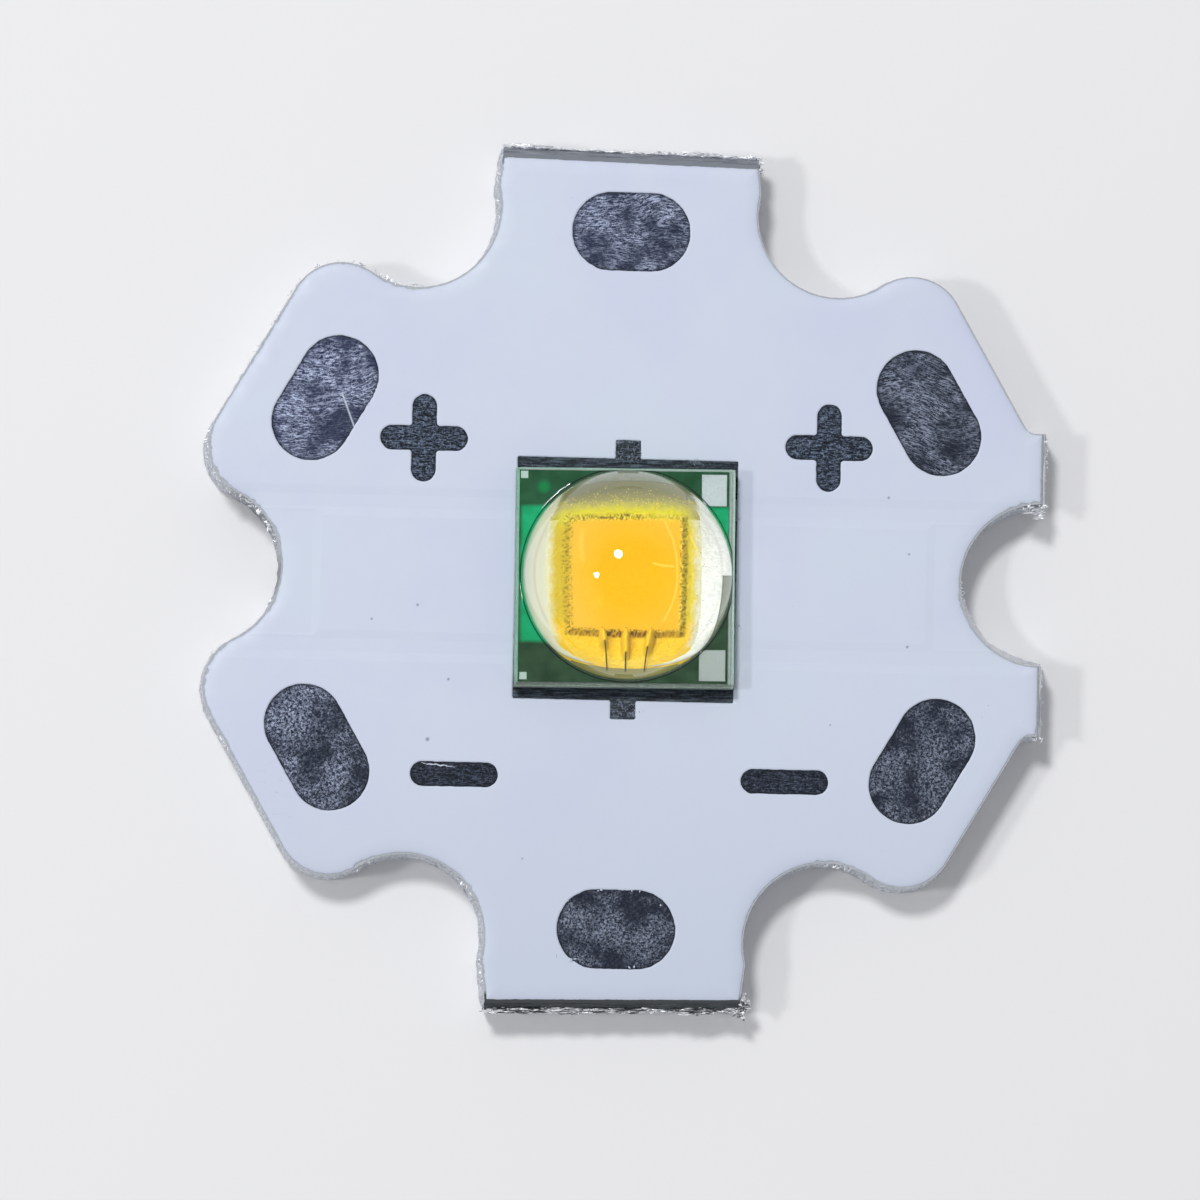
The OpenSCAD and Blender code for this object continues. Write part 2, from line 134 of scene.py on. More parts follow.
# Torn bits of metal on the edge: from, to, how many, their length, and the lowest and highest of them
BURRS = [
    ((-9.75, 3.2), (-8.9, 1.75), 46, 0.13, 1.42, 1.56),
    ((-8.9, 1.75), (-8.5, 1.25), 26, 0.16, 1.35, 1.58), ((-8.6, 1.5), (-8.1, 0.95), 18, 0.13, 1.3, 1.58),
    ((-8.3, 1.15), (-8.0, 0.6), 14, 0.2, 1.2, 1.55), ((-8.15, -0.68), (-7.9, -0.92), 8, 0.16, 1.35, 1.58),
    ((-9.1, 4.3), (-7.65, 6.85), 26, 0.09, 1.48, 1.58),
    ((-7.3, 7.05), (-6.5, 7.36), 16, 0.11, 1.45, 1.58),
    ((-6.5, 7.36), (-5.7, 7.05), 18, 0.11, 1.45, 1.58), ((-5.9, 6.92), (-5.3, 6.62), 26, 0.13, 1.4, 1.58),
    ((-5.2, 6.8), (-4.75, 6.55), 14, 0.12, 1.4, 1.58),
    ((-9.2, -1.75), (-9.6, -3.0), 16, 0.09, 1.42, 1.55),
    ((-9.36, -3.9), (-9.13, -4.15), 8, 0.14, 1.35, 1.55),
    ((-6.2, -6.6), (-5.65, -6.8), 20, 0.12, 1.2, 1.55),
    ((-3.75, -6.9), (-3.4, -7.5), 16, 0.12, 1.2, 1.55), ((4.7, -6.3), (5.4, -6.7), 28, 0.12, 1.3, 1.58),
    ((9.2, 1.95), (9.75, 1.8), 22, 0.19, 1.3, 1.58), ((7.7, 0.2), (7.85, -0.75), 22, 0.11, 1.4, 1.58),
    ((9.45, -3.4), (9.85, -3.6), 12, 0.17, 1.3, 1.56), ((9.76, 3.6), (9.76, 2.0), 26, 0.1, 1.2, 1.5),
    ((9.8, -1.95), (9.8, -3.4), 26, 0.1, 1.2, 1.5), ((2.75, 9.9), (3.05, 9.6), 18, 0.16, 1.0, 1.5),
    ((-3.0, 9.7), (-3.15, 8.1), 24, 0.11, 1.45, 1.58), ((2.75, -9.95), (3.05, -9.6), 20, 0.22, 0.6, 1.5),
    ((-3.1, -8.8), (-3.0, -9.6), 20, 0.12, 1.3, 1.55),
]

# Torn lips along the snapped edges: from, to, how many, their length, lowest, highest, and how far out
LIPS = [
    ((-2.9, 9.95), (3.0, 9.9), 240, 0.42, 1.15, 1.24, -0.01, 0.02),
    ((-2.9, 9.95), (-1.8, 9.95), 110, 0.36, 1.15, 1.26, -0.01, 0.08),
    ((0.6, 9.95), (0.98, 9.95), 36, 0.2, 1.15, 1.26, 0.0, 0.06),
    ((1.2, 9.95), (2.05, 9.95), 70, 0.24, 1.15, 1.26, 0.0, 0.08),
    ((1.4, 9.95), (1.7, 9.95), 14, 0.14, 1.15, 1.26, 0.06, 0.13),
    ((9.3, 1.9), (9.7, 1.9), 60, 0.3, 1.3, 1.5, -0.02, 0.16),
    ((9.55, 1.9), (9.7, 1.9), 30, 0.2, 1.25, 1.5, 0.1, 0.3),
    ((-2.95, -9.95), (0.9, -9.95), 300, 0.42, 1.14, 1.34, -0.09, 0.05),
    ((0.9, -9.95), (3.0, -9.9), 110, 0.36, 1.14, 1.34, -0.08, 0.01),
    ((1.59, -9.95), (2.26, -9.95), 90, 0.3, 1.14, 1.34, -0.1, 0.09),
]

# Lumps of torn metal, each of several flakes: place, height and size
FLAKES_PER_LUMP = 7
LUMPS = [
    (2.92, -9.58, 1.4, 0.24), (3.04, -9.76, 1.25, 0.28), (2.93, -9.98, 1.2, 0.2),
    (-8.08, -0.76, 1.45, 0.13), (-7.98, -0.88, 1.42, 0.1), (-8.2, 1.0, 1.4, 0.12),
    (-8.05, 0.72, 1.4, 0.1), (9.66, 1.7, 1.4, 0.12), (-5.6, 6.84, 1.45, 0.09), (5.05, -6.5, 1.45, 0.09),
    (2.96, 9.74, 1.3, 0.15), (3.02, 9.6, 1.3, 0.12),
]

# Where the wall leans outwards below: place, reach and depth
LEANS = [
    (8.0, -0.9, 1.2, 0.15), (8.9, -1.75, 1.1, 0.15), (-9.5, 2.7, 0.9, 0.06),
]

# Flecks of the mask on the rims of the windows: place and size
FLECKS = [
    (-1.37, -8.72, 0.07), (-1.02, -8.83, 0.11), (-0.93, -8.78, 0.08), (0.33, -8.95, 0.08),
    (0.43, -8.93, 0.06), (1.12, -8.45, 0.06), (-0.44, -7.2, 0.09), (-0.36, -7.18, 0.07),
    (0.35, -7.19, 0.08), (0.53, -7.2, 0.06), (-1.12, -7.45, 0.05), (1.02, -7.5, 0.05), (-6.0, 3.9, 0.05),
    (-5.93, 4.2, 0.05), (8.5, -2.7, 0.06), (8.42, -2.85, 0.05), (8.35, -2.98, 0.05),
]

# Crumbs of solder: place, spread and how many
CRUMBS = [
    (1.62, 2.8, 0.1, 16), (1.4, 2.84, 0.04, 6), (0.37, -3.03, 0.06, 12), (0.34, -3.18, 0.05, 8),
    (-0.29, 2.95, 0.04, 8), (0.36, 2.9, 0.04, 6), (2.66, 1.5, 0.05, 5), (2.66, -1.0, 0.06, 6),
]

# Chips in the rims of the windows in the mask: place, reach and depth
CHIPS = [
    (-6.0, 4.05, 0.16, 0.05), (-6.15, 3.8, 0.1, 0.04), (-5.85, 4.3, 0.12, -0.03),
    (-6.35, 3.15, 0.12, 0.03), (-1.0, -8.85, 0.15, -0.04), (-0.7, -8.9, 0.1, 0.03),
    (0.2, -7.2, 0.2, -0.03),
]

# Where the mask dips between the copper islands: left, bottom, right and top
MASK_DIPS = [
    (-9.4, 1.42, 9.4, 1.92), (-9.4, -1.92, 9.4, -1.42), (7.1, -1.5, 9.4, 1.5), (-9.4, -1.5, -7.1, 1.5),
]

# Dark specks on the white mask: place and radius
SPECKS = [
    (-4.45, -3.8, 0.045), (-4.75, -0.7, 0.03), (-5.8, -1.05, 0.025), (-4.0, -2.4, 0.03),
    (-2.2, -6.5, 0.02), (6.1, 2.05, 0.03), (6.6, 0.75, 0.025), (6.6, -1.4, 0.03), (4.85, -3.25, 0.02),
]


# Materials

def srgb(r, g, b):
    """A colour given as it shows on a screen, 0 to 255, as linear light."""
    def linear(c):
        c /= 255
        return c / 12.92 if c <= 0.04045 else ((c + 0.055) / 1.055) ** 2.4
    return (linear(r), linear(g), linear(b), 1.0)


def as_light(colour):
    """Three numbers are a colour of the screen. A socket or four numbers stay as they are."""
    return srgb(*colour) if isinstance(colour, tuple) and len(colour) == 3 else colour


def plug(tree, socket, value):
    """Links an input to an output, or sets it to a constant."""
    if isinstance(value, bpy.types.NodeSocket):
        tree.links.new(value, socket)
    else:
        socket.default_value = value


def add_node(tree, kind, *values, **named):
    """A new node: values for its first inputs, and by name its settings or, with a capital, more inputs."""
    new = tree.nodes.new("ShaderNode" + kind)
    for name, value in named.items():
        if name[0].islower():
            setattr(new, name, value)
    for socket, value in zip(new.inputs, values):
        plug(tree, socket, value)
    for name, value in named.items():
        if name[0].isupper():
            plug(tree, new.inputs[name], value)
    return new


class Look:
    """A material under construction. Its coordinates are the row frame's, in millimetres."""

    def __init__(self, name, colour, roughness, metallic=0.0, **sockets):
        self.material = bpy.data.materials.new(name)
        self.material.use_nodes = True
        self.tree = self.material.node_tree
        self.shader = self.tree.nodes["Principled BSDF"]
        self.dye(as_light(colour))
        for socket, value in {"Roughness": roughness, "Metallic": metallic, **sockets}.items():
            self.set(socket.replace("_", " "), value)
        at = self.node("TexCoord").outputs["Object"]
        self.place = self.node("VectorMath", at, operation="SCALE", Scale=1 / MM).outputs[0]

    def set(self, name, value):
        plug(self.tree, self.shader.inputs[name], value)

    def dye(self, colour):
        """Gives the whole surface a colour."""
        self.colour = colour
        self.set("Base Color", colour)

    def cover(self, share, colour, strength=1.0):
        """Lays a colour over the one that is there, as far as share times strength goes."""
        if strength < 1:
            share = self.times(share, strength)
        self.dye(self.mix(share, self.colour, colour))

    def node(self, kind, *values, **named):
        return add_node(self.tree, kind, *values, **named)

    def math(self, operation, *values, clamp=False):
        return self.node("Math", *values, operation=operation, use_clamp=clamp).outputs[0]

    def times(self, first, second):
        return self.math("MULTIPLY", first, second)

    def add(self, first, second, clamp=False):
        return self.math("ADD", first, second, clamp=clamp)

    def most(self, first, second):
        return self.math("MAXIMUM", first, second)

    def stretched(self, place, x, y, z):
        return self.node("VectorMath", place, (x, y, z), operation="MULTIPLY").outputs[0]

    def noise(self, scale, detail=2.0, roughness=0.5, distortion=0.0, place=None):
        inputs = {"Scale": scale, "Detail": detail, "Roughness": roughness, "Distortion": distortion}
        return self.node("TexNoise", place or self.place, **inputs).outputs["Fac"]

    def streaks(self, x, y, z, roughness=0.7, detail=3.0, distortion=0.0, place=None):
        """Noise with a scale of its own along each axis."""
        return self.noise(1.0, detail, roughness, distortion, self.stretched(place or self.place, x, y, z))

    def fit(self, value, low, high, to_low=0.0, to_high=1.0):
        return self.node("MapRange", value, low, high, to_low, to_high).outputs[0]

    def band(self, value, low, high, late, end):
        """Rises from 0 to 1 between low and high, and falls back between late and end."""
        return self.times(self.fit(value, low, high), self.fit(value, end, late))

    def mix(self, share, first, second, blend="MIX"):
        inputs = {"Factor": share, "A": as_light(first), "B": as_light(second)}
        return self.node("Mix", data_type="RGBA", blend_type=blend, **inputs).outputs["Result"]

    def bump(self, height, depth_mm, strength):
        new = self.node("Bump", Height=height, Distance=depth_mm * MM, Strength=strength)
        self.set("Normal", new.outputs["Normal"])

    def part(self, axis, turn=0.0):
        """One coordinate of the place, in a frame that is turned about the emitter's axis."""
        spun = self.node("VectorRotate", self.place, rotation_type="Z_AXIS", Angle=-radians(turn))
        return self.node("SeparateXYZ", spun.outputs[0]).outputs[axis]

    def rectangle(self, left, bottom, right, top, soft=0.02, turn=PACKAGE_TURN):
        """1 inside a rectangle of a turned frame, the package's unless another is given."""
        inside = 1.0
        for axis, low, high in (("X", left, right), ("Y", bottom, top)):
            ends = (low - soft, low + soft, high - soft, high + soft)
            inside = self.times(inside, self.band(self.part(axis, turn), *ends))
        return inside

    def rectangles(self, areas, *rest):
        """1 inside any of several rectangles."""
        inside = 0.0
        for area in areas:
            inside = self.most(inside, self.rectangle(*area, *rest))
        return inside

    def strip(self, start, end, width, soft=0.015):
        """1 along a straight strip between two points of the board."""
        turn = bearing(start, end)
        a = turned(start, -turn)
        b = turned(end, -turn)
        return self.rectangle(a[0], a[1] - width / 2, b[0], a[1] + width / 2, soft, turn)

    def distance(self, x, y):
        """How far a place is from an upright line through a point of the board."""
        flat = self.stretched(self.place, 1.0, 1.0, 0.0)
        return self.node("VectorMath", flat, (x, y, 0.0), operation="DISTANCE").outputs["Value"]

    def disc(self, x, y, radius, soft=0.02):
        return self.fit(self.distance(x, y), radius + soft, max(0.0, radius - soft))

    def tone(self):
        """The colour that the piece's vertices carry."""
        return self.node("Attribute", attribute_name="tone", attribute_type="GEOMETRY").outputs["Color"]


def aluminium():
    look = Look("aluminium", (186, 189, 194), 0.5, metallic=0.5)
    x, y, z = (look.part(axis) for axis in "XYZ")
    streaks = look.streaks(16, 16, 1.2, 0.65, 4.0)
    grains = look.noise(9.0, 3.0)
    shade = look.fit(look.times(streaks, grains), 0.1, 0.34)
    look.dye(look.mix(shade, (142, 146, 154), (218, 222, 230)))
    # Painted light: a lighter patch on the lower wall of the right notch, where the lamps fall.
    lit = look.disc(8.4, -1.2, 1.1, 0.4)
    look.cover(lit, look.mix(streaks, (196, 200, 208), (244, 246, 250)), 0.8)
    side_face = look.times(look.fit(x, 9.5, 9.55), look.fit(z, 1.2, 1.25))
    upright = look.fit(look.streaks(26.0, 1.2, 26.0), 0.4, 0.62)
    look.cover(side_face, look.mix(upright, (150, 156, 166), (236, 240, 246)))
    # Painted shade: the walls round the left notch are darkened.
    shaded = look.most(look.disc(-8.65, 1.3, 0.7, 0.4), look.disc(-7.85, -0.1, 0.5, 0.3))
    look.cover(shaded, look.mix(grains, (60, 64, 72), (130, 134, 142)), 0.7)
    # Painted shade: the bevel faces of the wide score lines are darker than the wall, the lower one most.
    groove = look.fit(z, 1.19, 1.22)
    lines = look.fit(look.streaks(1.2, 26.0, 26.0), 0.4, 0.62)
    for way, dull, bright in ((1, (104, 108, 118), (150, 155, 165)), (-1, (38, 42, 46), (78, 84, 88))):
        face = look.times(groove, look.fit(y, 9.55 * way, 9.65 * way))
        look.cover(face, look.mix(lines, dull, bright))
    look.set("Roughness", look.fit(grains, 0.3, 0.7, 0.42, 0.65))
    look.bump(look.add(streaks, look.times(grains, 0.5)), 0.02, 0.7)
    return look.material


def torn_aluminium():
    look = Look("torn_aluminium", (226, 228, 230), 0.4, metallic=0.6)
    grains = look.noise(14.0, 4.0, 0.65)
    look.dye(look.mix(look.fit(grains, 0.38, 0.6), (200, 204, 212), (252, 253, 255)))
    streaks = look.fit(look.streaks(2.5, 22.0, 22.0), 0.44, 0.56)
    torn_low = look.mix(streaks, (58, 62, 66), (246, 248, 252))
    look.cover(look.fit(look.part("Y"), -9.6, -9.7), torn_low)
    look.bump(grains, 0.02, 0.8)
    return look.material


def white_mask():
    look = Look("white_mask", (203, 210, 229), 0.5)
    cloud = look.fit(look.noise(0.35, 3.0), 0.35, 0.65)
    look.dye(look.mix(cloud, (202, 208, 230), (204, 213, 229)))
    look.cover(look.fit(look.part("Y"), -3.0, -9.0), (197, 206, 223))
    fine = look.node("TexVoronoi", look.place, Scale=0.9)
    look.cover(look.fit(fine.outputs["Distance"], 0.016, 0.008), (130, 134, 142), 0.35)
    for x, y, radius in SPECKS:
        look.cover(look.disc(x, y, radius, 0.014), (92, 98, 108), 0.6)
    scuffs = look.fit(look.streaks(4.0, 12.0, 4.0), 0.6, 0.72)
    look.cover(look.times(scuffs, look.disc(-7.95, -5.1, 0.55, 0.3)), (150, 156, 172), 0.35)
    peel = look.noise(3.0, 3.0)
    look.set("Roughness", look.fit(peel, 0.3, 0.7, 0.42, 0.56))
    dips = look.rectangles(MASK_DIPS, 0.1, 0.0)
    look.bump(look.math("SUBTRACT", look.times(peel, 0.25), dips), 0.016, 0.6)
    return look.material


def insulating_resin():
    look = Look("insulating_resin", (190, 196, 196), 0.6)
    grains = look.noise(12.0, 3.0)
    look.dye(look.mix(grains, (150, 155, 160), (190, 195, 202)))
    # Painted shade: the resin on the bevels of the snapped edges is darker, on the lower edge most.
    look.cover(look.fit(look.part("Y"), 9.55, 9.65), (118, 123, 132))
    look.cover(look.fit(look.part("Y"), -9.55, -9.65), (50, 54, 58))
    look.bump(grains, 0.005, 0.5)
    return look.material


def copper():
    look = Look("copper", (190, 120, 84), 0.4, metallic=1.0)
    grains = look.noise(8.0, 3.0)
    look.dye(look.mix(grains, (168, 98, 66), (206, 140, 104)))
    tinned = look.rectangle(-2.8, -3.4, 2.9, 3.4, 0.02, 0.0)
    look.cover(tinned, look.mix(grains, (50, 54, 62), (84, 90, 98)))
    look.bump(grains, 0.004, 0.5)
    return look.material


def pad_metal():
    look = Look("pad_metal", (80, 88, 108), 0.5, metallic=0.25, Specular_IOR_Level=0.2)
    rim, sign = look.node("SeparateColor", look.tone()).outputs[:2]
    sway = look.times(look.math("SUBTRACT", look.noise(0.45, 1.0), 0.5), 1.5)
    sway = look.node("CombineXYZ", 0.0, sway, 0.0).outputs[0]
    swayed = look.node("VectorMath", look.place, sway, operation="ADD").outputs[0]
    lines = look.streaks(7.0, 40.0, 7.0, 0.75, 3.0, 0.25, swayed)
    crumple = look.noise(22.0, 3.0, 0.7, 0.4)
    lower = look.fit(look.part("Y"), 0.5, -0.5)
    lines = look.mix(look.times(lower, 0.85), lines, look.noise(19.0, 2.0, 0.75, 0.6))
    clouds = look.noise(1.4, 4.0, 0.6)
    pits = look.fit(look.noise(17.0, 2.0), 0.6, 0.74)
    # Painted glints: the film's crinkled streaks and crumples are laid on as pale colour, paler and bluer
    # towards the upper left, over a base that darkens towards the lower right.
    light = look.add(look.fit(lines, 0.46, 0.63), look.times(look.fit(crumple, 0.52, 0.66), 0.6))
    light = look.times(light, look.fit(clouds, 0.38, 0.59, 0.1, 0.95))
    light = look.add(light, look.times(pits, 0.15), clamp=True)
    along = look.math("SUBTRACT", look.part("X"), look.part("Y"))
    look.dye(look.mix(look.fit(along, -12.0, -3.0), (42, 50, 78), (22, 30, 46)))
    look.cover(light, look.mix(look.fit(along, -12.0, 5.0), (186, 197, 226), (138, 147, 166)))
    # The signs get painted glints of their own, lighter towards the top.
    streaks = look.fit(look.streaks(7.0, 38.0, 7.0), 0.44, 0.64)
    streaks = look.fit(look.add(streaks, look.fit(crumple, 0.5, 0.66)), 0.25, 1.4)
    lit = look.mix(look.fit(look.part("Y"), -1.0, 1.0), (76, 86, 104), (112, 126, 150))
    look.cover(sign, look.mix(streaks, (14, 20, 30), lit))
    # Painted shade: each window's metal is darkened along its rim, under the mask's wall.
    look.cover(rim, (22, 28, 38), 0.7)
    scratch = look.strip((-6.61, 4.16), (-6.31, 3.38), 0.035)
    look.cover(scratch, (196, 203, 218), 0.85)
    look.set("Roughness", look.fit(light, 0.0, 1.0, 0.6, 0.42))
    look.bump(look.add(lines, look.times(crumple, 0.6)), 0.01, 0.7)
    return look.material


def dark_solder():
    look = Look("dark_solder", (48, 53, 68), 0.4, metallic=0.2, Specular_IOR_Level=0.25)
    lines = look.streaks(2.2, 24, 5, 0.6)
    crinkle = look.noise(14.0, 4.0, 0.7, 1.0)
    look.dye(look.mix(look.fit(look.part("Y"), -2.6, -2.4), (31, 37, 44), (12, 25, 32)))
    look.cover(look.fit(lines, 0.46, 0.66), (96, 112, 126), 0.6)
    tab = look.rectangles([(-0.4, -4.0, 0.5, -2.78), (-0.4, 2.72, 0.5, 4.0)], 0.04, 0.0)
    # Painted glints: light specks on the crinkled tabs, faint ones on the strips.
    glints = look.times(look.fit(crinkle, 0.51, 0.6), look.fit(tab, 0.0, 1.0, 0.12, 0.6))
    look.cover(glints, (140, 148, 168))
    look.bump(look.add(look.times(lines, 0.4), look.times(crinkle, tab)), 0.03, 0.7)
    return look.material


def grainy(
    name, colour, roughness, scale, detail, darkest, lightest, depth=None, low=0.0, high=1.0, **sockets,
):
    """A look that is one fine mix of two colours: its own colour, its grain and how deep the grain is."""
    look = Look(name, colour, roughness, **sockets)
    grains = look.noise(scale, detail)
    look.dye(look.mix(look.fit(grains, low, high), darkest, lightest))
    if depth is not None:
        look.bump(grains, *depth)
    return look.material


def bright_solder():
    return grainy(
        "bright_solder", (120, 128, 140), 0.45, 20.0, 3.0, (52, 58, 68), (176, 184, 196), (0.005, 0.5),
        0.4, 0.6, metallic=0.3)


def gold():
    return grainy(
        "gold", (214, 182, 110), 0.3, 10.0, 2.0, (198, 164, 92), (226, 198, 132), (0.003, 0.4),
        metallic=1.0)


# The wires' dark brown stands for the dark surroundings that the gold mirrors: a painted dark reflection.
def wire_gold():
    return grainy(
        "gold_wire", (84, 66, 24), 0.5, 12.0, 2.0, (70, 54, 16), (100, 80, 30), (0.002, 0.4),
        metallic=0.3, Specular_IOR_Level=0.2)


def die_crystal():
    return grainy("die_crystal", (96, 90, 84), 0.35, 12.0, 2.0, (84, 78, 72), (112, 106, 98))


def ceramic():
    look = Look("ceramic", (150, 172, 160), 0.55, Specular_IOR_Level=0.1)
    grains = look.noise(14.0, 3.0)
    x = look.part("X", PACKAGE_TURN)
    y = look.part("Y", PACKAGE_TURN)
    edge = look.most(look.math("ABSOLUTE", x), look.math("ABSOLUTE", y))
    look.dye(look.mix(look.fit(x, -2.46, -2.42), (110, 171, 144), (146, 158, 156)))
    look.cover(look.fit(x, 2.38, 2.4), (150, 164, 160))
    look.cover(look.fit(y, -2.42, -2.44), (64, 78, 66))
    lower_right = look.fit(look.math("SUBTRACT", x, y), -1.0, 1.0)
    dark_line = look.times(look.band(edge, 2.44, 2.45, 2.465, 2.475), lower_right)
    look.cover(dark_line, (72, 88, 80), 0.7)
    rim = look.mix(look.fit(y, -2.2, -2.4), (144, 184, 166), (112, 128, 116))
    look.cover(look.fit(edge, 2.49, 2.502), rim)
    look.cover(look.disc(*turned(DOME_AT, PACKAGE_TURN), 2.3, 0.03), (126, 128, 98))
    look.cover(0.25, look.mix(grains, (60, 70, 66), (200, 214, 208)))
    look.bump(grains, 0.004, 0.5)
    return look.material


def silver():
    look = Look("silver", (222, 224, 210), 0.5, metallic=0.2, Specular_IOR_Level=0.15)
    x = look.part("X", PACKAGE_TURN)
    y = look.part("Y", PACKAGE_TURN)
    grains = look.noise(18.0, 3.0)
    ticks = look.streaks(9, 34, 9, 0.65)
    look.dye(look.mix(look.fit(x, -2.2, -1.55), (178, 194, 176), (216, 217, 190)))
    bright = look.mix(look.fit(ticks, 0.36, 0.6), (216, 218, 208), (196, 200, 193))
    look.cover(look.fit(x, 0.6, 1.4), bright)
    # Painted reflection: the metal's top zone is olive-grey, for the dark surroundings that it mirrors.
    olive = look.mix(look.fit(y, 1.2, 1.45), (166, 160, 96), (126, 126, 92))
    look.cover(look.rectangle(-1.2, 1.16, 1.25, 3.0, 0.07), olive)
    look.cover(look.fit(y, -1.45, -1.62), (128, 124, 66))
    pads = look.rectangles([(1.7, 1.6, 2.4, 2.5), (1.65, -2.5, 2.4, -1.6)], 0.01)
    look.cover(pads, look.mix(look.fit(y, -0.2, 0.2), (152, 163, 158), (174, 185, 186)))
    marks = look.rectangles([(-2.5, 2.2, -2.2, 2.5), (-2.5, -2.5, -2.2, -2.1)], 0.01)
    look.cover(marks, (164, 186, 176))
    # Painted reflection: a faint dark ring round the dome's axis, a line that the dome's optics draw on the
    # metal.
    from_axis = look.distance(*turned(DOME_AT, PACKAGE_TURN))
    look.cover(look.band(from_axis, 1.6, 1.63, 1.66, 1.7), (140, 142, 128), 0.2)
    dots = look.times(look.fit(grains, 0.6, 0.7), look.fit(x, 1.1, 1.5))
    look.cover(dots, (150, 152, 146), 0.5)
    look.bump(look.add(ticks, grains), 0.006, 0.6)
    return look.material


def green_resist():
    look = Look("green_resist", (38, 92, 62), 0.35, Specular_IOR_Level=0.1)
    share = look.fit(look.noise(2.5, 3.0), 0.35, 0.65)
    look.dye(look.mix(share, (32, 58, 38), (46, 74, 50)))
    look.cover(look.fit(look.part("Y"), -0.5, 0.5), look.mix(share, (18, 67, 38), (32, 83, 54)))
    over_metal = look.rectangles([(-2.4, -1.49, -1.4, 1.64), (1.6, 0.1, 2.4, 1.64)], 0.05)
    look.cover(over_metal, look.mix(share, (0, 140, 86), (12, 160, 106)))
    look.cover(look.disc(*turned((-1.89, 2.08), PACKAGE_TURN), 0.13, 0.06), (0, 118, 64))
    look.bump(look.noise(10.0, 3.0), 0.003, 0.4)
    return look.material


def phosphor():
    look = Look("phosphor", (250, 196, 46), 0.8, Specular_IOR_Level=0.1)
    grains = look.noise(30.0, 3.0, 0.7)
    fine = look.mix(look.fit(grains, 0.3, 0.7), (0.95, 0.94, 0.86, 1.0), (1.03, 1.03, 1.12, 1.0))
    look.dye(look.mix(1.0, look.tone(), fine, "MULTIPLY"))
    look.bump(look.add(grains, look.noise(7.0, 3.0, 0.6)), 0.012, 0.5)
    return look.material


def clear_silicone():
    clear = (1.0, 1.0, 1.0, 1.0)
    look = Look("clear_silicone", clear, 0.0, Transmission_Weight=1.0, IOR=1.41)
    # Painted shade: a dark ring in the silicone just over the dome's foot draws the thin dark outline round
    # the dome.
    over_foot = look.math("SUBTRACT", look.part("Z"), FOOT_Z)
    look.dye(look.mix(look.band(over_foot, 0.003, 0.006, 0.018, 0.03), clear, (40, 50, 44)))
    in_shadow = look.node("LightPath").outputs["Is Shadow Ray"]
    through = look.node("BsdfTransparent").outputs[0]
    mixed = look.node("MixShader", in_shadow, look.shader.outputs[0], through)
    look.tree.links.new(mixed.outputs[0], look.tree.nodes["Material Output"].inputs["Surface"])
    return look.material


# Meshes

class Shell:
    """Vertices and faces of a piece under construction, in millimetres, and a tone for each vertex."""

    def __init__(self):
        self.vertices = []
        self.faces = []
        self.tones = []

    def ring(self, points, tone=None):
        """Adds points and returns their numbers."""
        first = len(self.vertices)
        self.vertices += points
        if tone is not None:
            self.tones += [tone] * len(points)
        return list(range(first, len(self.vertices)))

    def walls(self, rings, inward=False):
        """Joins rings that have as many vertices each. They go up counter-clockwise, or inward is True."""
        for low, high in zip(rings, rings[1:]):
            for k in range(len(low)):
                n = (k + 1) % len(low)
                a, b, c, d = low[k], low[n], high[n], high[k]
                self.faces.append((a, d, c, b) if inward else (a, b, c, d))

    def tube(self, rings, inward=False):
        """Walls with a cap on either end."""
        ends = (rings[0], rings[-1][::-1]) if inward else (rings[0][::-1], rings[-1])
        self.faces += [tuple(end) for end in ends]
        self.walls(rings, inward)

    def flake(self, random, centre, along, length, width, tone=None):
        """A torn flake: an uneven octahedron."""
        side = Vector((-along.y, along.x, 0.0))
        up = Vector((0.0, 0.0, 1.0))
        corners = []
        for axis, size in ((along, 0.5), (side, width), (up, 0.8 * width)):
            for way in (1, -1):
                shift = Vector([random.uniform(-0.5, 0.5) * width for _ in range(3)])
                tip = axis * way * size * random.uniform(0.6, 1.2) + shift
                corners.append(tuple(centre + tip * length))
        self.octahedron(corners, tone)

    def octahedron(self, corners, tone=None):
        base = self.ring(corners, tone)[0]
        for a, b, c in (
            (0, 2, 4), (2, 1, 4), (1, 3, 4), (3, 0, 4), (2, 0, 5), (1, 2, 5), (3, 1, 5), (0, 3, 5),
        ):
            self.faces.append((base + a, base + b, base + c))

    def seat(self):
        """Takes the vertices from the package's frame to the board's."""
        self.vertices = [(*turned((x, y), PACKAGE_TURN), SUBSTRATE_TOP + z) for x, y, z in self.vertices]
        return self


def add_object(name, data):
    new = bpy.data.objects.new(name, data)
    bpy.context.scene.collection.objects.link(new)
    return new


def put(name, shell, material, smooth_angle=None):
    """Adds a piece on the one body that the part has."""
    mesh = bpy.data.meshes.new(name)
    mesh.from_pydata([tuple(c * MM for c in v) for v in shell.vertices], [], shell.faces)
    mesh.update()
    piece = add_object(name, mesh)
    mesh.materials.append(material)
    if smooth_angle is not None:
        mesh.polygons.foreach_set("use_smooth", [True] * len(mesh.polygons))
        mesh.set_sharp_from_angle(angle=radians(smooth_angle))
    if shell.tones:
        colours = mesh.color_attributes.new("tone", "FLOAT_COLOR", "POINT")
        colours.data.foreach_set("color", [c for tone in shell.tones for c in (*tone[:3], 1.0)])
    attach(piece, "root")
    return piece


def turned(point, angle):
    a = radians(angle)
    return (point[0] * cos(a) - point[1] * sin(a), point[0] * sin(a) + point[1] * cos(a))


def random_way(random):
    """A level direction."""
    return Vector((*turned((1.0, 0.0), random.uniform(0, 180)), 0.0))


def rough(x, y, z, scale, octaves=3):
    return noise.fractal(Vector((x, y, z)) * scale, 0.6, 2.0, octaves)


# The board's outline, with as many points at every height

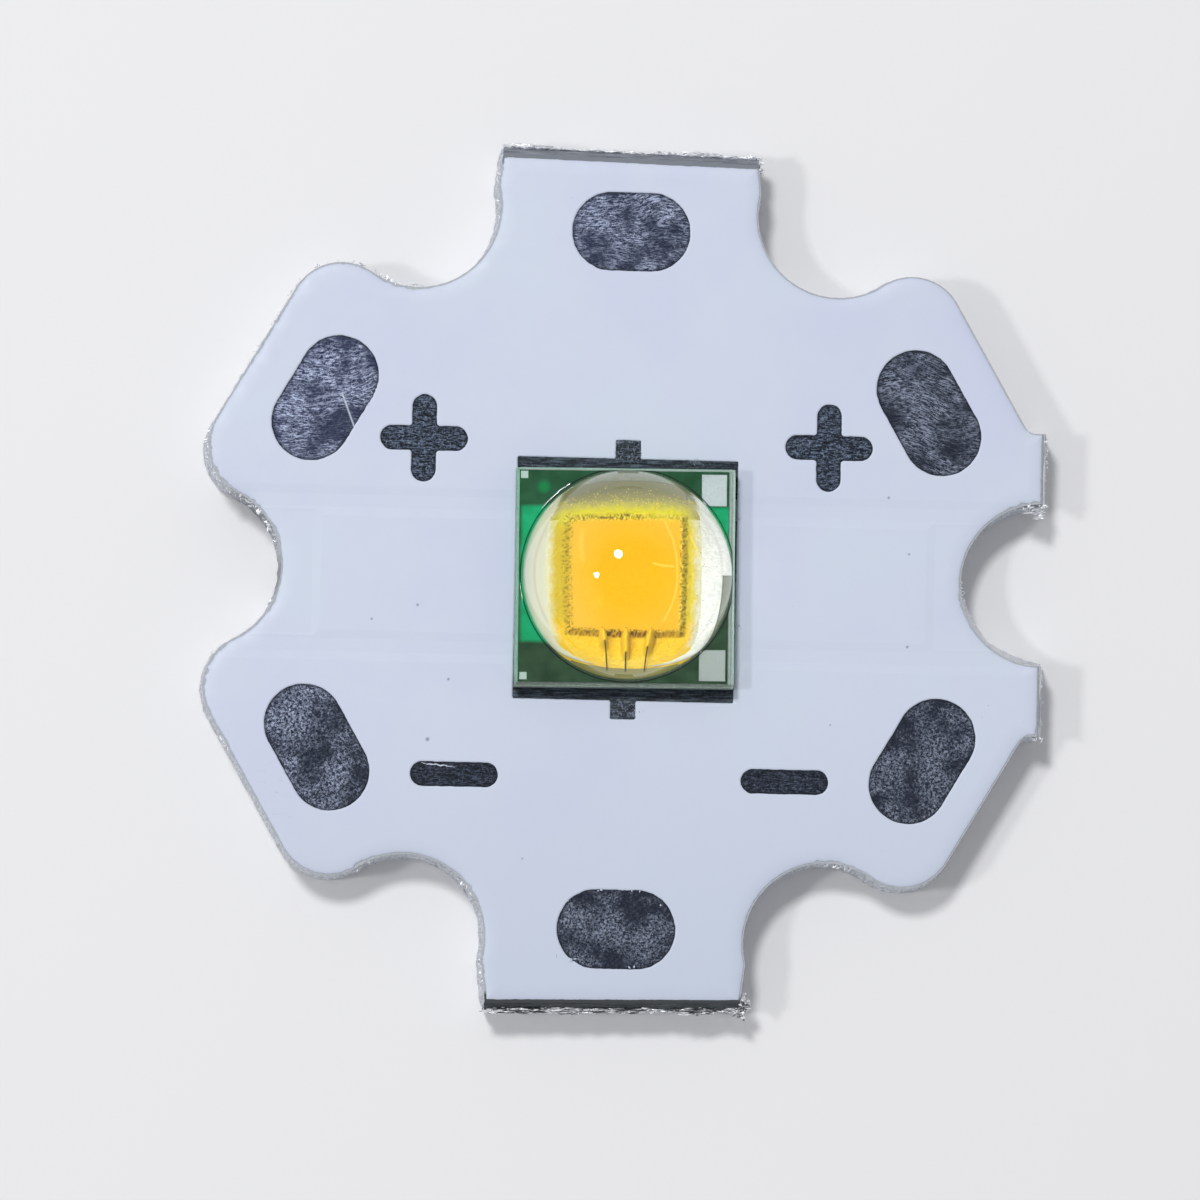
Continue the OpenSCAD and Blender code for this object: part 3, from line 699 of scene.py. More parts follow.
ARM_NOTCH = turned((NOTCH_PITCH_R, 0), 30)
CORNER_X = FLAT_R - CORNER_R
CORNER_Y = ARM_NOTCH[1] - sqrt((NOTCH_R + CORNER_R) ** 2 - (ARM_NOTCH[0] - CORNER_X) ** 2)
CORNER_SWEEP = degrees(atan2(ARM_NOTCH[1] - CORNER_Y, ARM_NOTCH[0] - CORNER_X))


def line(start, end, count):
    return [
        (start[0] + (end[0] - start[0]) * k / count, start[1] + (end[1] - start[1]) * k / count)
        for k in range(count)
    ]


def on_circle(centre, radius, angle):
    a = radians(angle)
    return (centre[0] + radius * cos(a), centre[1] + radius * sin(a))


def arc(centre, radius, start, end, count):
    return [on_circle(centre, radius, start + (end - start) * k / count) for k in range(count)]


def bearing(centre, point):
    return degrees(atan2(point[1] - centre[1], point[0] - centre[0]))


def notch_arc(direction, start, end, inset, count):
    """Clockwise round a notch, from one point on its rim to another."""
    centre = turned((NOTCH_PITCH_R, 0), direction)
    first = bearing(centre, start)
    last = bearing(centre, end)
    while last > first:
        last -= 360
    return arc(centre, NOTCH_R + inset, first, last, count)


def meet(p, q, normal, distance):
    """The point on the line through p and q whose distance along normal, in the board's frame, is given."""
    shift = PUNCH_SHIFT[0] * normal[0] + PUNCH_SHIFT[1] * normal[1]
    at_p = p[0] * normal[0] + p[1] * normal[1] + shift
    at_q = q[0] * normal[0] + q[1] * normal[1] + shift
    t = (distance - at_p) / (at_q - at_p)
    return (p[0] + (q[0] - p[0]) * t, p[1] + (q[1] - p[1]) * t)


def wide_tab(arm, tilt, inset, cut):
    """Corner points of a wide tab, from its right root to its left one."""
    root_y = TAB_ROOT - inset
    reach = sqrt((NOTCH_R + inset) ** 2 - (ARM_NOTCH[1] - root_y) ** 2)
    root_x = ARM_NOTCH[0] + reach
    normal = turned((1, 0), arm + tilt)
    sides = []
    for side in (-1, 1):
        root = turned((root_x, side * root_y), arm)
        shoulder = turned((TAB_SHOULDER_X, side * root_y), arm)
        overrun = turned((TAB_OVERRUN_X, side * (TAB_TIP - inset)), arm)
        tip = meet(shoulder, overrun, normal, WIDE_SCORE_R - cut)
        sides.append((root, shoulder, tip))
    return sides[0], sides[1]


def corner(arm, side, inset, count):
    """A round corner, counter-clockwise."""
    centre = turned((CORNER_X, side * CORNER_Y), arm)
    sweep = (-CORNER_SWEEP, 0) if side < 0 else (0, CORNER_SWEEP)
    return arc(centre, CORNER_R - inset, arm + sweep[0], arm + sweep[1], count)


def corner_end(arm, side, inset):
    """Where a round corner meets its notch."""
    centre = turned((CORNER_X, side * CORNER_Y), arm)
    return on_circle(centre, CORNER_R - inset, arm + side * CORNER_SWEEP)


def flat_end(arm, side, inset):
    return turned((FLAT_R - inset, side * CORNER_Y), arm)


def outline(inset, upper_cut, lower_cut, side_cut):
    """The outline at one height, counter-clockwise, with True at each point on a snapped edge.

    Each run's rough length only says how many points it gets, which is the same at every height.
    """
    points = []
    snapped = []

    def count(length):
        return max(2, round(length / OUTLINE_STEP))

    def add(stretch, torn=False):
        points.extend((x + PUNCH_SHIFT[0], y + PUNCH_SHIFT[1]) for x, y in stretch)
        snapped.extend([torn] * len(stretch))

    def add_line(start, end, length, torn=False):
        add(line(start, end, count(length)), torn)

    def add_corner(arm, side):
        add(corner(arm, side, inset, count(2.05)))

    def add_notch(direction, start, end):
        add(notch_arc(direction, start, end, inset, count(4.13)))

    def add_tab(right, left):
        add(line(right[0], right[1], 2))
        add_line(right[1], right[2], 0.9)
        add_line(right[2], left[2], 5.8, True)
        add_line(left[2], left[1], 0.9)
        add(line(left[1], left[0], 2))

    side_x = SIDE_SCORE_R - side_cut - PUNCH_SHIFT[0]
    rim_y = sqrt((NOTCH_R + inset) ** 2 - (NOTCH_PITCH_R - side_x) ** 2)
    reach = SIDE_TAB_REACH - inset
    flat_x = (FLAT_R - inset - reach * sin(radians(30))) / cos(radians(30))
    fillet = min(SIDE_TAB_FILLET_R + inset, (side_x - 0.02 - flat_x) / tan(radians(30)))
    root_x = flat_x + fillet * tan(radians(30))
    slant = (root_x - fillet * cos(radians(30)), reach + fillet * (1 - sin(radians(30))))
    upper = wide_tab(90, UPPER_SCORE_TILT, inset, upper_cut)
    lower = wide_tab(270, LOWER_SCORE_TILT, inset, lower_cut)

    add_line((side_x, rim_y), (side_x, reach), 1.7, True)
    add(line((side_x, reach), (root_x, reach), 4))
    add(arc((root_x, reach + fillet), fillet, 270, 210, 6))
    add_line(slant, flat_end(30, 1, inset), 3.4)
    add_corner(30, 1)
    add_notch(60, corner_end(30, 1, inset), upper[0][0])
    add_tab(*upper)
    start = upper[1][0]
    for arm in (150, 210):
        add_notch(arm - 30, start, corner_end(arm, -1, inset))
        add_corner(arm, -1)
        add_line(flat_end(arm, -1, inset), flat_end(arm, 1, inset), 3.6)
        add_corner(arm, 1)
        start = corner_end(arm, 1, inset)
    add_notch(240, start, lower[0][0])
    add_tab(*lower)
    add_notch(300, lower[1][0], corner_end(330, -1, inset))
    add_corner(330, -1)
    add_line(flat_end(330, -1, inset), (slant[0], -slant[1]), 3.4)
    add(arc((root_x, -reach - fillet), fillet, 150, 90, 6))
    add(line((root_x, -reach), (side_x, -reach), 4))
    add_line((side_x, -reach), (side_x, -rim_y), 1.7, True)
    add_notch(0, (side_x, -rim_y), (side_x, rim_y))
    return points, snapped


def outward(points):
    """Unit vectors square to the outline, pointing away from the board."""
    normals = []
    for k in range(len(points)):
        before = points[k - 1]
        after = points[(k + 1) % len(points)]
        along = (after[0] - before[0], after[1] - before[1])
        size = hypot(*along) or 1.0
        normals.append((along[1] / size, -along[0] / size))
    return normals


def pushed(points, distances):
    """A loop whose points are moved outwards, each by its own distance."""
    moved = zip(points, outward(points), distances)
    return [(x + nx * push, y + ny * push) for (x, y), (nx, ny), push in moved]


# The board

def spots_near(spots, x, y):
    """Of the spots that reach a place: how far off each is, as a share of its reach, and its depth."""
    for spot_x, spot_y, reach, depth in spots:
        near = hypot(x - spot_x, y - spot_y) / reach
        if near < 1:
            yield near, depth


def worn(x, y):
    """How far punching and snapping took the edge back near a place."""
    back = 0.0
    for near, depth in spots_near(WORN, x, y):
        back = max(back, depth * (1 - near * near) * max(0.0, 0.55 + rough(x, y, 0.0, 7.0)))
    return back


def score_cut_at(z, depth):
    """How far a V groove pair takes the snapped edge back at a height."""
    slope = tan(radians(SCORE_WALL_ANGLE))
    return max(0.0, depth - z, z - (EDGE_TOP - depth)) * slope


def lean(x, y):
    """How far the foot of the wall stands out near a place."""
    return max((depth * (1 - near * near) for near, depth in spots_near(LEANS, x, y)), default=0.0)


def ramp(value, start, length):
    """0 up to a start and 1 beyond a length after it."""
    return min(1.0, max(0.0, value - start) / length)


CORE_HEIGHTS = [
    0.0, 0.012, 0.04, 0.11, 0.22, 0.32, 0.4, 0.5, 0.62, 0.76, 0.9, 1.04, 1.16, 1.22, 1.3, 1.4, 1.46, 1.49,
    CORE_T,
]
EDGE_ROLL = 0.03
WALL_OUT = 0.04
WALL_TAPER = 0.07
TAPER_FROM = 0.35


def wall_push(x, y, z, torn):
    """How far the core's wall stands out from the punched outline at a place."""
    if torn:
        web = WIDE_SCORE_DEPTH < z + 0.02 and z < EDGE_TOP - WIDE_SCORE_DEPTH + 0.02
        rip = 0.06 if z < 1 else 0.02
        return rip * rough(x, y, 2.5 * z, 4.0, 4) if web else 0.006 * rough(x, y, z, 9.0)
    push = 0.012 * rough(x, y, 0.15 * z, 6.0) + WALL_OUT - WALL_TAPER * ramp(z, TAPER_FROM, 0.7)
    if 0 < z < CORE_T:
        push += 0.02 * rough(x, y, z, 7.0) * min(1.0, max(0.0, 0.75 - z) / 0.4)
    push -= 0.5 * worn(x, y) * min(1.0, z)
    return push + lean(x, y) * (1 - ramp(z, TAPER_FROM, 1.0))


def board_core(material):
    """The aluminium core, with its sheared walls, torn score lines and slightly rolled edges."""
    shell = Shell()
    rings = []
    for z in CORE_HEIGHTS:
        roll = EDGE_ROLL * (max(0.0, 1 - z / 0.04) ** 2 + max(0.0, 1 - (CORE_T - z) / 0.05) ** 2)
        wide_cut = score_cut_at(z, WIDE_SCORE_DEPTH)
        points, snapped = outline(0.0, wide_cut, wide_cut, score_cut_at(z, SIDE_SCORE_DEPTH))
        distances = [wall_push(x, y, z, torn) - roll for (x, y), torn in zip(points, snapped)]
        rings.append(shell.ring([(x, y, z) for x, y in pushed(points, distances)]))
    shell.tube(rings)
    piece = put("board_core", shell, material, 50)
    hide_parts("base_plate")


def edge_burrs(material):
    """Metal torn up by punching and snapping, along the stretches of edge where it shows."""
    random = Random(8)
    rim, _ = outline(0.0, 0.0, 0.0, 0.0)
    normals = outward(rim)
    shell = Shell()

    def add(start, end, low, high, out, slant, length, width):
        """Puts one flake near the edge, beside a random point of a straight run."""
        t = random.random()
        x = start[0] + (end[0] - start[0]) * t
        y = start[1] + (end[1] - start[1]) * t
        near = min(range(len(rim)), key=lambda k: (rim[k][0] - x) ** 2 + (rim[k][1] - y) ** 2)
        nx, ny = normals[near]
        spot = Vector((rim[near][0] + nx * out, rim[near][1] + ny * out, random.uniform(low, high)))
        shell.flake(random, spot, Vector((*turned((nx, ny), slant), 0.0)), length, width)

    for start, end, count, length, low, high in BURRS:
        for _ in range(count):
            slant = random.uniform(-57, 57) + (90 if random.random() < 0.35 else 0)
            out = random.uniform(-0.06, 0.02 if abs(start[1]) > 9 else 0.035)
            add(start, end, low, high, out, slant, length * random.uniform(0.4, 1.3), 0.17)
    for start, end, count, length, low, high, inner, outer in LIPS:
        for _ in range(count):
            slant = 90 + random.uniform(-9, 9)
            out = random.uniform(inner, outer)
            add(start, end, low, high, out, slant, length * random.uniform(0.3, 1.2), 0.085)
    for x, y, z, size in LUMPS:
        for _ in range(FLAKES_PER_LUMP):
            spot = Vector((x, y, z)) + Vector([random.uniform(-0.35, 0.35) * size for _ in range(3)])
            along = random_way(random)
            shell.flake(random, spot, along, size * random.uniform(0.6, 1.1), 0.32)
    put("edge_burrs", shell, material)


def solder_crumbs(material):
    """Little curls and crumbs of solder beside the emitter."""
    random = Random(3)
    shell = Shell()
    for x, y, spread, count in CRUMBS:
        for _ in range(count):
            spot = Vector((x + random.gauss(0, spread), y + random.gauss(0, 0.5 * spread), 0.0))
            spot.z = (FINISH_TOP if abs(spot.x) < 2.5 else MASK_TOP) + 0.012
            along = random_way(random)
            shell.flake(random, spot, along, random.uniform(0.03, 0.09), 0.14)
    put("solder_crumbs", shell, material)


def rounded(corners, radii, grow, step):
    """A loop of square corners, rounded and then grown, with as many points at every growth."""
    normals = []
    for k, a in enumerate(corners):
        b = corners[(k + 1) % len(corners)]
        size = hypot(b[0] - a[0], b[1] - a[1])
        normals.append(((b[1] - a[1]) / size, (a[0] - b[0]) / size))
    bends = []
    for k, point in enumerate(corners):
        before = normals[k - 1]
        after = normals[k]
        way = 1 if before[0] * after[1] - before[1] * after[0] > 0 else -1
        centre = [point[i] - way * radii[k] * (before[i] + after[i]) for i in (0, 1)]
        first = degrees(atan2(way * before[1], way * before[0]))
        end = [centre[i] + (way * radii[k] + grow) * after[i] for i in (0, 1)]
        turns = max(3, round(radii[k] * pi / 2 / step))
        bends.append((arc(centre, radii[k] + way * grow, first, first + 90 * way, turns), end))
    points = []
    for k, (bend, end) in enumerate(bends):
        following = (k + 1) % len(corners)
        run = hypot(corners[following][0] - corners[k][0], corners[following][1] - corners[k][1])
        run -= radii[k] + radii[following]
        points += bend
        if run > 0.001:
            points += line(end, bends[following][0][0], max(2, round(run / step)))
    return points


def bar(length, width):
    a = length / 2
    b = width / 2
    return [(-a, -b), (a, -b), (a, b), (-a, b)], [b] * 4


def crossed(level, upright):
    """The corners of two crossed bars, each given as left, bottom, right and top."""
    left, bottom, right, top = level
    x0, foot, x1, head = upright
    return [
        (x0, foot), (x1, foot), (x1, bottom), (right, bottom), (right, top), (x1, top),
        (x1, head), (x0, head), (x0, top), (left, top), (left, bottom), (x0, bottom),
    ]


def plus(span, width):
    a = span / 2
    b = width / 2
    return crossed((-a, -b, a, b), (-b, -a, b, a)), [b, b, 0.07] * 4


def land_opening():
    left, right, reach = LAND_TAB
    corners = crossed(LAND_WINDOW, (left, -reach, right, reach))
    return corners[-2:] + corners[:-2], [0.05] * len(corners)


def openings():
    """The windows in the mask: corners, radii, place, direction, and whether a window is a sign."""
    made = []
    for k in range(6):
        length = STRAIGHT_PAD_L if k in (1, 4) else SLANT_PAD_L
        made.append((*bar(length, PAD_W), turned((PAD_PITCH_R, 0), 30 + 60 * k), 120 + 60 * k, False))
    for side in (-1, 1):
        made.append((*plus(SIGN_SPAN, SIGN_W), (side * PLUS_AT[0], PLUS_AT[1]), 0, True))
        made.append((*bar(SIGN_SPAN, SIGN_W), (side * MINUS_AT[0], MINUS_AT[1]), 0, True))
    return made


def window_rim(opening, grow):
    """A window's rim, grown, with its chips."""
    corners, radii, place, direction = opening[:4]
    loop = [turned(p, direction) for p in rounded(corners, radii, grow, RIM_STEP)]
    loop = [(place[0] + x, place[1] + y) for x, y in loop]
    return pushed(loop, [chipped(x, y) for x, y in loop])


def chipped(x, y):
    """How far the rim of a window stands off its true line, outwards."""
    off = 0.009 * rough(x, y, 3.0, 5.0)
    for near, depth in spots_near(CHIPS, x, y):
        off += depth * (1 - near) * (0.6 + 1.2 * rough(x, y, 1.0, 12.0))
    return off


# Rims as steps: how far in or out, and the height over the mask's top
MASK_RIM = [
    (0.42, -0.027), (0.4, -0.06), (0.075, -0.06), (0.07, -0.045), (0.078, -0.035), (0.1, -0.025),
    (0.16, -0.013), (0.26, -0.005), (0.38, 0.0), (0.4, 0.0),
]
WINDOW_RIM = [(0.0, -0.027), (0.0, -0.016), (0.012, -0.006), (0.03, 0.0), (0.045, 0.0)]
# How far the mask reaches past the rim's first step, and stops short of the wide score lines
MASK_OVERHANG = 0.07
MASK_BACK = (0.055, 0.03)


def mask_skin(material):
    """The white mask, thinner and rounded off along its rims, with every window cut sharply."""
    shell = Shell()
    caps = ([], [])

    def add_stack(loops):
        rings = [shell.ring([(x, y, MASK_TOP + z) for x, y in loop]) for loop, z in loops]
        shell.walls(rings)
        caps[0].append(rings[0])
        caps[1].append(rings[-1])

    loops = []
    for inset, z in MASK_RIM:
        wide_cut = score_cut_at(EDGE_TOP, WIDE_SCORE_DEPTH) + inset - MASK_OVERHANG
        side_cut = score_cut_at(EDGE_TOP, SIDE_SCORE_DEPTH) + inset - MASK_OVERHANG
        points, _ = outline(inset, wide_cut + MASK_BACK[0], wide_cut + MASK_BACK[1], side_cut)
        wear = max(0.0, 1 - inset / 0.3)
        distances = [0.008 * rough(x, y, 5.0, 5.0) - worn(x, y) * wear for x, y in points]
        loops.append((pushed(points, distances), z))
    add_stack(loops)
    for opening in openings() + [(*land_opening(), (0.0, 0.0), 0, False)]:
        add_stack([(window_rim(opening, grow)[::-1], z) for grow, z in WINDOW_RIM])
    for cap, upward in zip(caps, (False, True)):
        numbers = [k for ring in cap for k in ring]
        corners = [[Vector(shell.vertices[k]) for k in ring] for ring in cap]
        for triangle in tessellate_polygon(corners):
            a, b, c = (numbers[k] for k in triangle)
            (ax, ay, _), (bx, by, _), (cx, cy, _) = (shell.vertices[k] for k in (a, b, c))
            area = (bx - ax) * (cy - ay)
            area -= (cx - ax) * (by - ay)
            shell.faces.append((a, b, c) if (area > 0) == upward else (a, c, b))
    piece = put("mask_skin", shell, material, 40)
    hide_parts("solder_mask")


# The films' rims as steps: growth, share of the thickness, and how dark the rim is painted, as shade under
# the mask's wall
FILM_RIM = [(0.0, 0.0, 1.0), (0.0, 1.0, 1.0), (-0.02, 1.0, 1.0), (-0.05, 1.0, 0.35), (-0.09, 1.0, 0.0)]


def pad_films(material):
    """The dull metal in the windows, each with a tone for its rim, darkened as painted shade under the
    mask's wall, and for the signs.
    """
    shell = Shell()
    for opening in openings():
        rings = []
        for grow, lift, rim in FILM_RIM:
            z = COPPER_TOP + (FINISH_TOP - COPPER_TOP) * lift
            points = [(x, y, z) for x, y in window_rim(opening, grow)]
            rings.append(shell.ring(points, (rim, 1.0 if opening[4] else 0.0, 0.0)))
        shell.tube(rings)
    piece = put("pad_films", shell, material)
    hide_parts("pad_finish")


def mask_sliver(material):
    """A stray sliver of the mask across the left minus sign, and flecks of it on the windows' rims."""
    start = Vector((-4.59, -4.35, 0.0))
    end = Vector((-3.8, -4.42, 0.0))
    side = Vector((0.0, 1.0, 0.0))
    shell = Shell()
    rings = []
    count = 24
    for k in range(count + 1):
        t = k / count
        middle = start.lerp(end, t) + side * 0.03 * rough(8 * t, 0.0, 0.0, 1.0)
        half = 0.004 + 0.016 * sin(pi * t) * (0.8 + rough(t, 2.0, 0.0, 9.0))
        section = []
        for across, z in ((-1, -0.002), (1, -0.002), (0.6, 0.008), (-0.6, 0.008)):
            place = middle + side * across * half
            section.append((place.x, place.y, FINISH_TOP + z))
        rings.append(shell.ring(section))
    shell.tube(rings, inward=True)
    random = Random(11)
    for x, y, size in FLECKS:
        shell.flake(random, Vector((x, y, MASK_TOP + 0.008)), random_way(random), size, 0.3)
    put("mask_sliver", shell, material)


# The package

FLANGE_EDGE_IN = 0.0205
DOME_SIDES = 192
DOME_RINGS = 72


def dome(material):
    """The dome and its flange as one closed body of silicone, whose contents stand inside it."""
    foot = asin((FLANGE_T + 1.2 * FILLET_R - DOME_CENTRE_Z) / DOME_R)
    half = PACKAGE_W / 2
    directions = [2 * pi * (k + 0.5) / DOME_SIDES for k in range(DOME_SIDES)]

    def from_axis(a, r, z):
        return (DOME_AT[0] + r * cos(a), DOME_AT[1] + r * sin(a), z)

    rings = []
    for k in range(1, DOME_RINGS + 1):
        b = pi / 2 - (pi / 2 - foot) * k / DOME_RINGS
        r = DOME_R * cos(b)
        z = DOME_CENTRE_Z + DOME_R * sin(b)
        rings.append([from_axis(a, r, z) for a in directions])
    for turn, beyond in [(b, 0.0) for b in (180, 192, 204, 216, 228, 240, 250, 260, 270)] + [(270, 0.003)]:
        ring = []
        for a in directions:
            bend = min(FILLET_R, room_beyond_dome(a) - 0.01)
            z = FLANGE_T + bend * (1 + sin(radians(turn)))
            wall_r = sqrt(DOME_R ** 2 - (FLANGE_T + bend - DOME_CENTRE_Z) ** 2)
            ring.append(from_axis(a, wall_r + bend * (1 + cos(radians(turn))) + beyond, z))
        rings.append(ring)
    for inner, z in (
        (FLANGE_EDGE_IN, FLANGE_T), (0.018, FLANGE_T), (0.006, FLANGE_T - 0.006), (0.0, FLANGE_T - 0.02),
        (0.0, 0.004), (0.012, -0.004),
    ):
        radii = [(half - inner) / max(abs(cos(a)), abs(sin(a))) for a in directions]
        rings.append([(r * cos(a), r * sin(a), z) for a, r in zip(directions, radii)])
    shell = Shell()
    shell.ring([(DOME_AT[0], DOME_AT[1], DOME_CENTRE_Z + DOME_R)])
    rings = [shell.ring(ring) for ring in rings]
    shell.faces = [(0, a, b) for a, b in zip(rings[0], rings[0][1:] + rings[0][:1])]
    shell.walls(rings, inward=True)
    shell.faces.append(tuple(rings[-1][::-1]))
    piece = put("clear_dome", shell.seat(), material, 30)
    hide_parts("silicone_lens")


def room_beyond_dome(angle):
    """How much flange lies beyond the dome in a direction from its axis."""
    edge = PACKAGE_W / 2 - FLANGE_EDGE_IN
    reach = []
    for at, along in zip(DOME_AT, (cos(angle), sin(angle))):
        if abs(along) > 0.001:
            reach.append(((edge if along > 0 else -edge) - at) / along)
    return min(reach) - DOME_R


def smooth_step(value, low, high):
    t = min(1.0, max(0.0, (value - low) / (high - low)))
    return t * t * (3 - 2 * t)


def plateau(value, low, high, late, end):
    """Rises from 0 to 1 between low and high, and falls back between late and end."""
    return smooth_step(value, low, high) * (1 - smooth_step(value, late, end))


def peak(value, middle, reach):
    """1 in the middle, and 0 beyond a reach on either side."""
    return max(0.0, 1 - abs(value - middle) / reach)


def blend(first, second, t):
    return tuple(a + (b - a) * t for a, b in zip(first, second))


ORANGE = srgb(230, 171, 25)
ORANGE_LEFT = srgb(230, 178, 46)
ORANGE_TOP = srgb(226, 178, 40)
LEMON_TOP = srgb(207, 199, 42)
LEMON_LEFT = srgb(202, 178, 40)
LEMON_RIGHT = srgb(214, 194, 50)
LEMON_LOW = srgb(234, 194, 38)
FRINGE_LEFT = srgb(212, 213, 172)
FRINGE_RIGHT = srgb(212, 214, 190)
# Olive-grey of the metal's top zone: a painted dark reflection
FRINGE_TOP = srgb(166, 160, 92)
OLIVE = srgb(122, 104, 30)
DEEP = srgb(84, 72, 24)
GLOW = srgb(250, 228, 110)
BARE_GRAIN = srgb(112, 112, 92)

# Painted light: bright arcs laid into the phosphor's colour, for light that the dome throws on it: points,
# strength and reach
LIGHT_ARCS = [
    (
        [(0.68, 0.94), (0.8, 0.68), (0.87, 0.38), (0.89, 0.0), (0.86, -0.25), (0.79, -0.48), (0.67, -0.73)],
        0.34, 0.03,
    ),
    ([(1.08, 0.73), (1.18, 0.51), (1.27, 0.24)], 0.5, 0.03),
    ([(0.48, 0.26), (0.62, 0.22), (0.82, 0.21)], 0.42, 0.03),
    ([(-0.74, 0.8), (-0.75, 0.5), (-0.71, 0.3)], 0.2, 0.07),
]


def near_path(points, x, y):
    """How far a place is from a path of straight runs."""
    least = 9.0
    for (ax, ay), (bx, by) in zip(points, points[1:]):
        dx = bx - ax
        dy = by - ay
        t = min(1.0, max(0.0, ((x - ax) * dx + (y - ay) * dy) / (dx * dx + dy * dy)))
        least = min(least, hypot(x - ax - t * dx, y - ay - t * dy))
    return least


def phosphor_border(x, y):
    """How far inside the phosphor's border a place lies, without its raggedness."""
    left, bottom, right, top = PHOSPHOR_AREA
    arc_radius = 2.63
    lower = arc_radius - hypot(x, y - (bottom + arc_radius))
    side = min(x - left, right - x)
    end = min(top - y, lower)
    rounding = 0.4 if y > 0 else 0.3
    return min(side, end) - peak(side, end, rounding) ** 2 * rounding / 4


def wire_finger(x, y):
    """The height of the phosphor's finger round a wire, how much of it is there, and its shadow's share."""
    height = finger = shadow = 0.0
    if y > -0.78 or y < -1.6:
        return height, finger, shadow
    for wire, emerges in zip(WIRES, WIRE_EMERGES_Y):
        wire_x, wire_z = on_wire(wire, y)
        off = x - wire_x - 0.008 * rough(y, wire_x, 4.0, 5.0)
        buried = plateau(y, emerges - 0.12, emerges + 0.16, -0.86, -0.8)
        share = max(0.0, 1 - (off / 0.085) ** 2)
        if share * buried > finger:
            finger = share * buried
            height = (wire_z + 0.022) * buried
        shadow = max(shadow, peak(off, 0.1, 0.05) * plateau(y, -1.52, -1.4, -0.95, -0.85))
    return height, finger, shadow


def wire_path(i):
    """Points along a bond wire, as the CAD part has it."""
    crest = DIE_TOP + 0.022
    stations = [
        (WIRE_START_X[i], -0.84, crest), (WIRE_START_X[i], -0.9, crest + 0.2),
        (WIRE_END_X[i], -1.21, crest + 0.1), (WIRE_END_X[i], -1.71, METAL_T + 0.018),
    ]
    path = []
    for k in range(WIRE_STEPS + 1):
        t = k / WIRE_STEPS
        weights = ((1 - t) ** 3, 3 * (1 - t) ** 2 * t, 3 * (1 - t) * t * t, t ** 3)
        path.append(tuple(sum(w * p[axis] for w, p in zip(weights, stations)) for axis in range(3)))
    return path


WIRES = [wire_path(i) for i in range(3)]


def on_wire(path, y):
    """Where a wire crosses a line of equal y: its x and its height."""
    for a, b in zip(path, path[1:]):
        if b[1] <= y <= a[1]:
            t = (a[1] - y) / max(1e-6, a[1] - b[1])
            return a[0] + (b[0] - a[0]) * t, a[2] + (b[2] - a[2]) * t
    return path[0][0], path[0][2]


def phosphor_point(x, y):
    """The phosphor's surface over the substrate, and its colour."""
    dx = abs(x - DIE_AT[0]) - DIE_W / 2
    dy = abs(y - DIE_AT[1]) - DIE_W / 2
    out = max(dx, dy)
    grain = rough(x, y, 0.0, 22.0, 2)
    border = phosphor_border(x, y)
    coat = smooth_step(border + 0.03 * rough(x, y, 0.3, 5.0), 0.0, 0.26)
    skirt = METAL_T - 0.012 + 0.05 * coat + 0.016 * coat * grain
    over = 1 - smooth_step(out + 0.02 * rough(x, y, 1.0, 9.0), 0.0, 0.08)
    cap = DIE_TOP + 0.055 + 0.006 * rough(x, y, 2.0, 3.0)
    height = skirt + (cap - skirt) * over
    height -= 0.012 * plateau(out, -0.07, -0.01, 0.03, 0.12) * (0.5 + grain)
    ridge, finger, shadow = wire_finger(x, y)
    if finger > 0:
        height = max(height, skirt + (ridge - skirt) * finger ** 0.8)
    return height, phosphor_colour(x, y, dx, dy, border, finger, shadow, grain)


